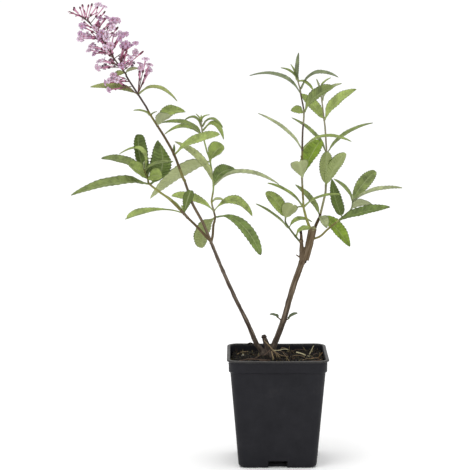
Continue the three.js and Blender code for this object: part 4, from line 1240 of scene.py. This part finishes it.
# The flower head: bracts, then bunches of florets in whorls up a leaning axis
headPlan = dict(
    footSteps=[[-7, -1, 11], [-7, -1.5, 11], [-3, 0, 5]],
    footBracts=[[1, 165, 44, 5.5, 0.075, 45, 0.18, "olive"], [1, 345, 36, -6, 0.24, 30, 0.17, "olive"]],
    footBunches=[[60, 3, 19, 1, 0.6], [202, 16, 8, 1, 0.6]],
    steps=[[-1, -0.5, 2.5], [-10.5, -1, 14], [-10, -1, 16], [-12, -1, 15.5], [-15.5, -1, 8]],
    bracts=[[1, 5, 12, 4, 0.1, 45, 0.34, "grey"], [1, 168, 12, -4, 0.1, 60, 0.48, "olive"]],
    whorls=7, first=1.5, last=3.5, crowding=0.9, floretsLow=2, floretsHigh=1.2,
    lowestReach=12, highestReach=4, shortening=1.7, stalkAlong=0.35, stalkRise=0.4,
    turnRange=(-0.3, 0.3), stalkRange=(0.75, 1.15), lightward=0.3,
    spread=0.75, middleFan=0.25, fanRange=(0.75, 1.1), jitter=(-0.25, 0.25), rise=0.3, fan=9,
    openRange=(0.85, 1.1), apart=1, drawnIn=0.5,
    tube=13, tubeRange=(0.9, 1.1), gather=0.25, stalkThick=[0.85, 0.7],
    petals=1.22, petalRange=(0.85, 1.1), sway=3.4, behind=5,
    twins=0.18, twinRange=(0.8, 0.95), twinSize=0.9, shut=0.4, shutRange=(0.45, 0.7), shutWidth=0.9,
    clubRange=(0.9, 1.1), buds=12, budFirst=4.1, budSpan=0.8, budAlong=4.9, budRange=(1.6, 2.6),
    budWidth=0.6, footSeed=41, whorlSeed=56, floretSeed=311,
    strays=[  # node, heading, out, rise of single florets on the axis, and on its foot
        [3.2, 204, 16, 8], [3, 194, 18, 4], [2.4, 202, 16, 3], [2.2, 187, 19, 3], [1.6, 200, 17, 3],
        [1.4, 183, 21, 0], [1.9, 347, 20, 14], [1.4, 289, 14, 6], [1.4, 319, 12, 9], [1.2, 265, 12, 5],
        [3.2, 333, 14, 13], [3.2, 356, 17, 13], [3, 315, 15, 10], [3.4, 5, 10, 12], [2.4, 349, 16, 14],
        [2.2, 309, 15, 14], [2.8, 266, 14, 9], [2.4, 267, 14, 10], [2.6, 235, 13, 7], [4, 357, 10, 14],
        [3.8, 348, 13, 15], [1.5, 308, 10, 20], [1.3, 359, 12, 15], [3, 194, 19, 0], [3, 210, 17, 2],
        [1.3, 95, 12, 9], [1.2, 60, 14, 6], [1.4, 130, 14, 5],
    ],
    footStrays=[
        [1, 335, 8, 31], [1, 340, 11, 26], [1, 352, 10, 21], [1, 292, 9, 24], [2.2, 208, 15, 5],
        [2, 192, 19, 1], [2, 219, 14, 2], [2, 175, 22, -1], [1.6, 200, 22, -3],
    ],
    clubs=[  # closed florets, long and thin
        [4.3, 192, 10, 4], [4.3, 167, 8, 7], [4.2, 212, 4, 10], [4.1, 138, 4, 13], [4, 29, 5, 15],
        [3.6, 17, 11, 14], [1.3, 353, 19, 16], [4.4, 200, 6, 8], [1.3, 296, 11, 17],
        [4.1, 20, 3, 13], [3.8, 150, 7, 12], [3.4, 60, 8, 14], [2.7, 15, 12, 15],
    ],
)
headFoot = growLimb("headFoot", "flower_shoot", steps=headPlan["footSteps"], thick=[1.8, 1.6], nodes=(1,))
headAxis = growLimb("headAxis", "headFoot", steps=headPlan["steps"], thick=[1.6, 1], nodes=(1,))


def makeLeaves():
    templates = [leafTemplate(f"{kind}_{size}", leafOutlines[kind], *leafShape["sizes"][size])
                 for kind, size in kindNames]
    tree = leafTree(templates, leafFinishes())
    random = chance(leafShape["seed"])
    for name, plan in shoots.items():
        rows = [(limbs[name], row) for row in plan["leaves"]]
        if name == "flower_shoot":
            rows += [(headFoot, row) for row in headPlan["footBracts"]]
            rows += [(headAxis, row) for row in headPlan["bracts"]]
        spots = [leafSpot(stem, row, random) for stem, row in rows]
        vectors = ("root", "chord", "lift", "across")
        piece = pointPiece(name + "_leaves", spots, "root", vectors, ("twist", "phase"), ("tint", "kind"))
        settle(piece, tree)
        finishPiece(piece, [name])
    drop(templates)


makeLeaves()
print("leaves made")


def makeTwigs():
    tones = list(youngTones)
    strands = []
    for name, plan in shoots.items():  # a twig's tone may change on the way up
        starts = plan["bark"][1::2] + [limbs[name]["count"]]
        for k, tone in enumerate(plan["bark"][::2]):
            rooted = 1.2 if k == 0 else 0.05
            strands.append((limbs[name], tones.index(tone), rooted, 0.2, starts[k], starts[k + 1]))
    strands += [(headFoot, tones.index("dusk"), 1, 0.2), (headAxis, tones.index("plum"), 1, 0)]
    piece = strandPaths("green_twigs", strands, step=0.6)
    finishes = barkFinishes("twig", youngTones, 1100, 0.25)
    settle(piece, strandTree("twigs", finishes, sides=10, scale=1200.0, depth=0.0002))
    finishPiece(piece, list(shoots))


makeTwigs()
print("twigs made")


def placeTree(name, templates, finishes):  # instances stretched along three axes of their own
    tree, source, out = newTree(name, [("Size", "Float", 1.0)])
    real = placeKinds(tree, source["Geometry"], templates)
    local = tree.nodes.new("ShaderNodeSeparateXYZ")
    tree.links.new(attribute(tree, "local", "FLOAT_VECTOR"), local.inputs[0])
    spot = attribute(tree, "root", "FLOAT_VECTOR")
    for key, axis in zip(("axisX", "axisY", "axisZ"), local.outputs):
        step = scaled(tree, attribute(tree, key, "FLOAT_VECTOR"), axis)
        spot = vectorMath(tree, "ADD", spot, scaled(tree, step, source["Size"]))
    moved = put(tree, "GeometryNodeSetPosition", {"Geometry": real, "Position": spot})
    tree.links.new(dealByPart(tree, moved, 4, finishes), out.inputs[0])
    return tree


def localTemplate(name, points, faces, parts):
    piece = meshPiece(name, points, faces)
    addAttribute(piece.data, "local", "FLOAT_VECTOR", points)
    addAttribute(piece.data, "part", "INT", parts, "FACE")
    return piece


florets = dict(
    sides=5,  # each outline is radius and height, from the foot up
    tube=[(0.3, 0.0), (0.75, 0.05), (0.8, 0.2), (0.48, 0.25), (0.5, 0.75), (0.6, 0.99)],
    club=[(0.25, 0), (0.62, 0.04), (0.62, 0.16), (0.42, 0.22), (0.48, 0.75), (0.95, 0.84), (0.9, 0.95),
          (0.4, 1)],
    lobe=[(0.5, -0.78, 0, 0), (1.9, -0.76, 0.4, 1), (2.95, -0.44, 1, 0), (2.95, 0.44, 1, 0),
          (1.9, 0.76, 0.4, 1), (0.5, 0.78, 0, 0), (1.9, 0, 0.35, 1)],  # radius, angle, cup and crest
    crest=0.03, turn=0.4, mouth=0.98, usualLength=9,
    open=dict(flat=(22, -0.01), tilted=(50, -0.02), reflexed=(60, -0.08)),  # tilt and cup
    lilacs=[(216, 180, 204), (202, 162, 194), (228, 200, 222)],
    tubes=[(188, 126, 154), (166, 98, 126), (200, 144, 170)],
    calyces=[(84, 46, 62), (104, 58, 72), (88, 58, 60)],
    throat=[(146, 88, 92), (180, 120, 100)], stalk=[(88, 56, 60), (116, 84, 80)],
)


clubKind = len(florets["open"])  # the closed floret comes after the open ones


def floretTemplate(name, tilt, cup):  # parts: 0 lobes, 1 tube, 2 calyx, 3 throat
    f, sides = florets, florets["sides"]
    points = lathed(f["tube"], sides)
    faces = loftFaces(len(f["tube"]), sides)
    parts = [2 if k // sides < 2 else 1 for k in range(sides * (len(f["tube"]) - 1))] + [2, 3]
    dip, rest = math.sin(math.radians(tilt)), math.cos(math.radians(tilt))
    rim = len(f["lobe"]) - 1
    for lobe in range(4):
        middle = math.pi / 2 * lobe + f["turn"]
        start = len(points)
        for radius, angle, fall, crest in f["lobe"]:
            x, y = radius * math.cos(middle + angle), radius * math.sin(middle + angle)
            z = f["mouth"] + y * dip / f["usualLength"] + cup * fall + f["crest"] * crest
            points.append((x, y * rest, z))
        faces += [(start + k, start + (k + 1) % rim, start + rim) for k in range(rim)]
        faces.append(tuple(start + k for k in range(rim))[::-1])
        parts += [0] * (rim + 1)
    return localTemplate(name, points, faces, parts)


def clubTemplate():
    outline, sides = florets["club"], florets["sides"]
    last = len(outline) - 1
    parts = [2 if k // sides < 2 or k // sides >= last - 2 else 1 for k in range(sides * last)] + [2, 2]
    return localTemplate("floret_club", lathed(outline, sides), loftFaces(len(outline), sides), parts)


def bunch(foot, stalk, count, spread, random):  # for each floret, where it springs from and where it opens
    h, along = headPlan, unit(stalk)
    tip = foot + stalk - along * h["drawnIn"]
    side, over = sideAxes(along, front)
    opened = []
    for k in range(count):
        angle = 2 * math.pi * (k + random(*h["jitter"])) / count
        fan = spread * (h["middleFan"] if k == 0 else random(*h["fanRange"]))
        direction = along + side * fan * math.cos(angle) + over * fan * math.sin(angle)
        direction = unit(direction + up * h["rise"])
        start = tip - along * k * h["apart"]
        opened.append((foot, start + direction * h["fan"] * random(*h["openRange"])))
    return opened


def growHead():
    h = headPlan
    random = chance(h["footSeed"])
    opened = []
    for heading, out, rise, count, spread in h["footBunches"]:
        opened += bunch(pointAt(headFoot, 1), reach(heading, out, rise), count, spread, random)
    random = chance(h["whorlSeed"])
    for whorl in range(h["whorls"]):
        share = whorl / (h["whorls"] - 1)
        node = h["first"] + (h["last"] - h["first"]) * share ** h["crowding"]
        along = tangentAt(headAxis, node)
        side, over = sideAxes(along, front)
        count = int(h["floretsLow"] + (h["floretsHigh"] - h["floretsLow"]) * share + 0.5)
        stalkLength = h["lowestReach"] + (h["highestReach"] - h["lowestReach"]) * share ** h["shortening"]
        for pair in (0, 1):
            angle = (whorl % 2) * math.pi / 2 + pair * math.pi + random(*h["turnRange"])
            outward = side * math.cos(angle) + over * math.sin(angle)
            lean = 1 + h["lightward"] * outward[2]
            stalk = unit(outward + along * h["stalkAlong"] + up * h["stalkRise"])
            stalk = stalk * stalkLength * lean * random(*h["stalkRange"])
            opened += bunch(pointAt(headAxis, node), stalk, count, h["spread"], random)
    for stem, rows in ((headAxis, h["strays"]), (headFoot, h["footStrays"])):
        opened += [(pointAt(stem, node), pointAt(stem, node) + reach(*step)) for node, *step in rows]
    return opened


def floretRow(root, step, width, kind, tint, toward):  # its open face leans over towards one side
    length = np.linalg.norm(step)
    direction = step / length
    axisY = unit(direction * direction.dot(toward) - toward)
    return dict(root=root * mm, axisX=np.cross(axisY, direction) * width * mm, axisY=axisY * width * mm,
                axisZ=direction * length * mm, kind=kind, tint=tint)


def floretRows():
    h = headPlan
    random = chance(h["floretSeed"])
    rows, stalks = [], []
    for foot, mouth in growHead():
        spring = foot + (mouth - foot) * h["gather"]
        length = min(h["tube"] * random(*h["tubeRange"]), np.linalg.norm(mouth - spring))
        root = mouth - unit(mouth - spring) * length
        stalks.append(limb(foot, [root - foot], h["stalkThick"]))
        size = h["petals"] * random(*h["petalRange"])
        side = -1 if (mouth - foot)[1] < h["behind"] else 1
        toward = vec(random(-0.8, 0.8), side + random(-0.5, 0.5), random(-0.5, 1))
        rows.append(floretRow(root, mouth - root, size, int(random(0, 3)), int(random(0, 3)), toward))
        sway = vec(random(-1, 1), random(-1, 1), random(-1, 1)) * h["sway"]
        if random(0, 1) < h["twins"]:  # a second open one beside it
            step = (mouth - root) * random(*h["twinRange"]) + sway
            kind, tint = int(random(0, 3)), int(random(0, 3))
            rows.append(floretRow(root, step, size * h["twinSize"], kind, tint, toward))
        elif random(0, 1) < h["shut"]:  # or a closed one
            step = (mouth - root) * random(*h["shutRange"]) + sway
            rows.append(floretRow(root, step, h["shutWidth"], clubKind, int(random(0, 3)), up))
    for node, *step in h["clubs"]:
        foot, width = pointAt(headAxis, node), random(*h["clubRange"])
        rows.append(floretRow(foot, reach(*step), width, clubKind, int(random(0, 3)), front))
    for k in range(h["buds"]):  # the smallest, close along the tip
        foot = pointAt(headAxis, h["budFirst"] + h["budSpan"] * k / (h["buds"] - 1))
        sway = vec(random(-1, 1), random(-1, 1), random(-1, 1))
        step = (tangentAt(headAxis, h["budAlong"]) + sway) * random(*h["budRange"])
        rows.append(floretRow(foot, step, h["budWidth"], clubKind, 0, front))
    return rows, stalks


def petalFinishes():
    f, finishes = florets, []
    for label, lilac, tube, calyx in zip("ABC", f["lilacs"], f["tubes"], f["calyces"]):
        finishes += [
            mottled("petal" + label, [shade(lilac, 0.9), lilac], 700, 0.75, sheen=0.2, specular=0.15),
            mottled("tube" + label, [tube, shade(tube, 1.1)], 500, 0.65, sheen=0.2, specular=0.2),
            mottled("calyx" + label, [calyx, shade(calyx, 1.2)], 500, 0.8, specular=0.2),
            mottled("throat" + label, f["throat"], 900, 0.7, specular=0.2),
        ]
    return dict(enumerate(finishes))


def makeBlossom():
    rows, stalks = floretRows()
    vectors = ("root", "axisX", "axisY", "axisZ")
    piece = pointPiece("panicle_florets", rows, "root", vectors, wholes=("kind", "tint"))
    templates = [floretTemplate("floret_" + name, *pose) for name, pose in florets["open"].items()]
    templates.append(clubTemplate())
    settle(piece, placeTree("floretPlacer", templates, petalFinishes()))
    drop(templates)
    finishPiece(piece, ["panicle_foot", "panicle"])
    stems = strandPaths("panicle_stalks", [(stalk, 0, 0.5, 0.2) for stalk in stalks], step=1.5)
    finishes = {0: barkFinish("flowerStalk", florets["stalk"], 900, 0.2)}
    settle(stems, strandTree("stalks", finishes, sides=6, scale=900.0, depth=0.0001))
    finishPiece(stems, ["panicle_foot", "panicle"])


makeBlossom()
print("blossom made")
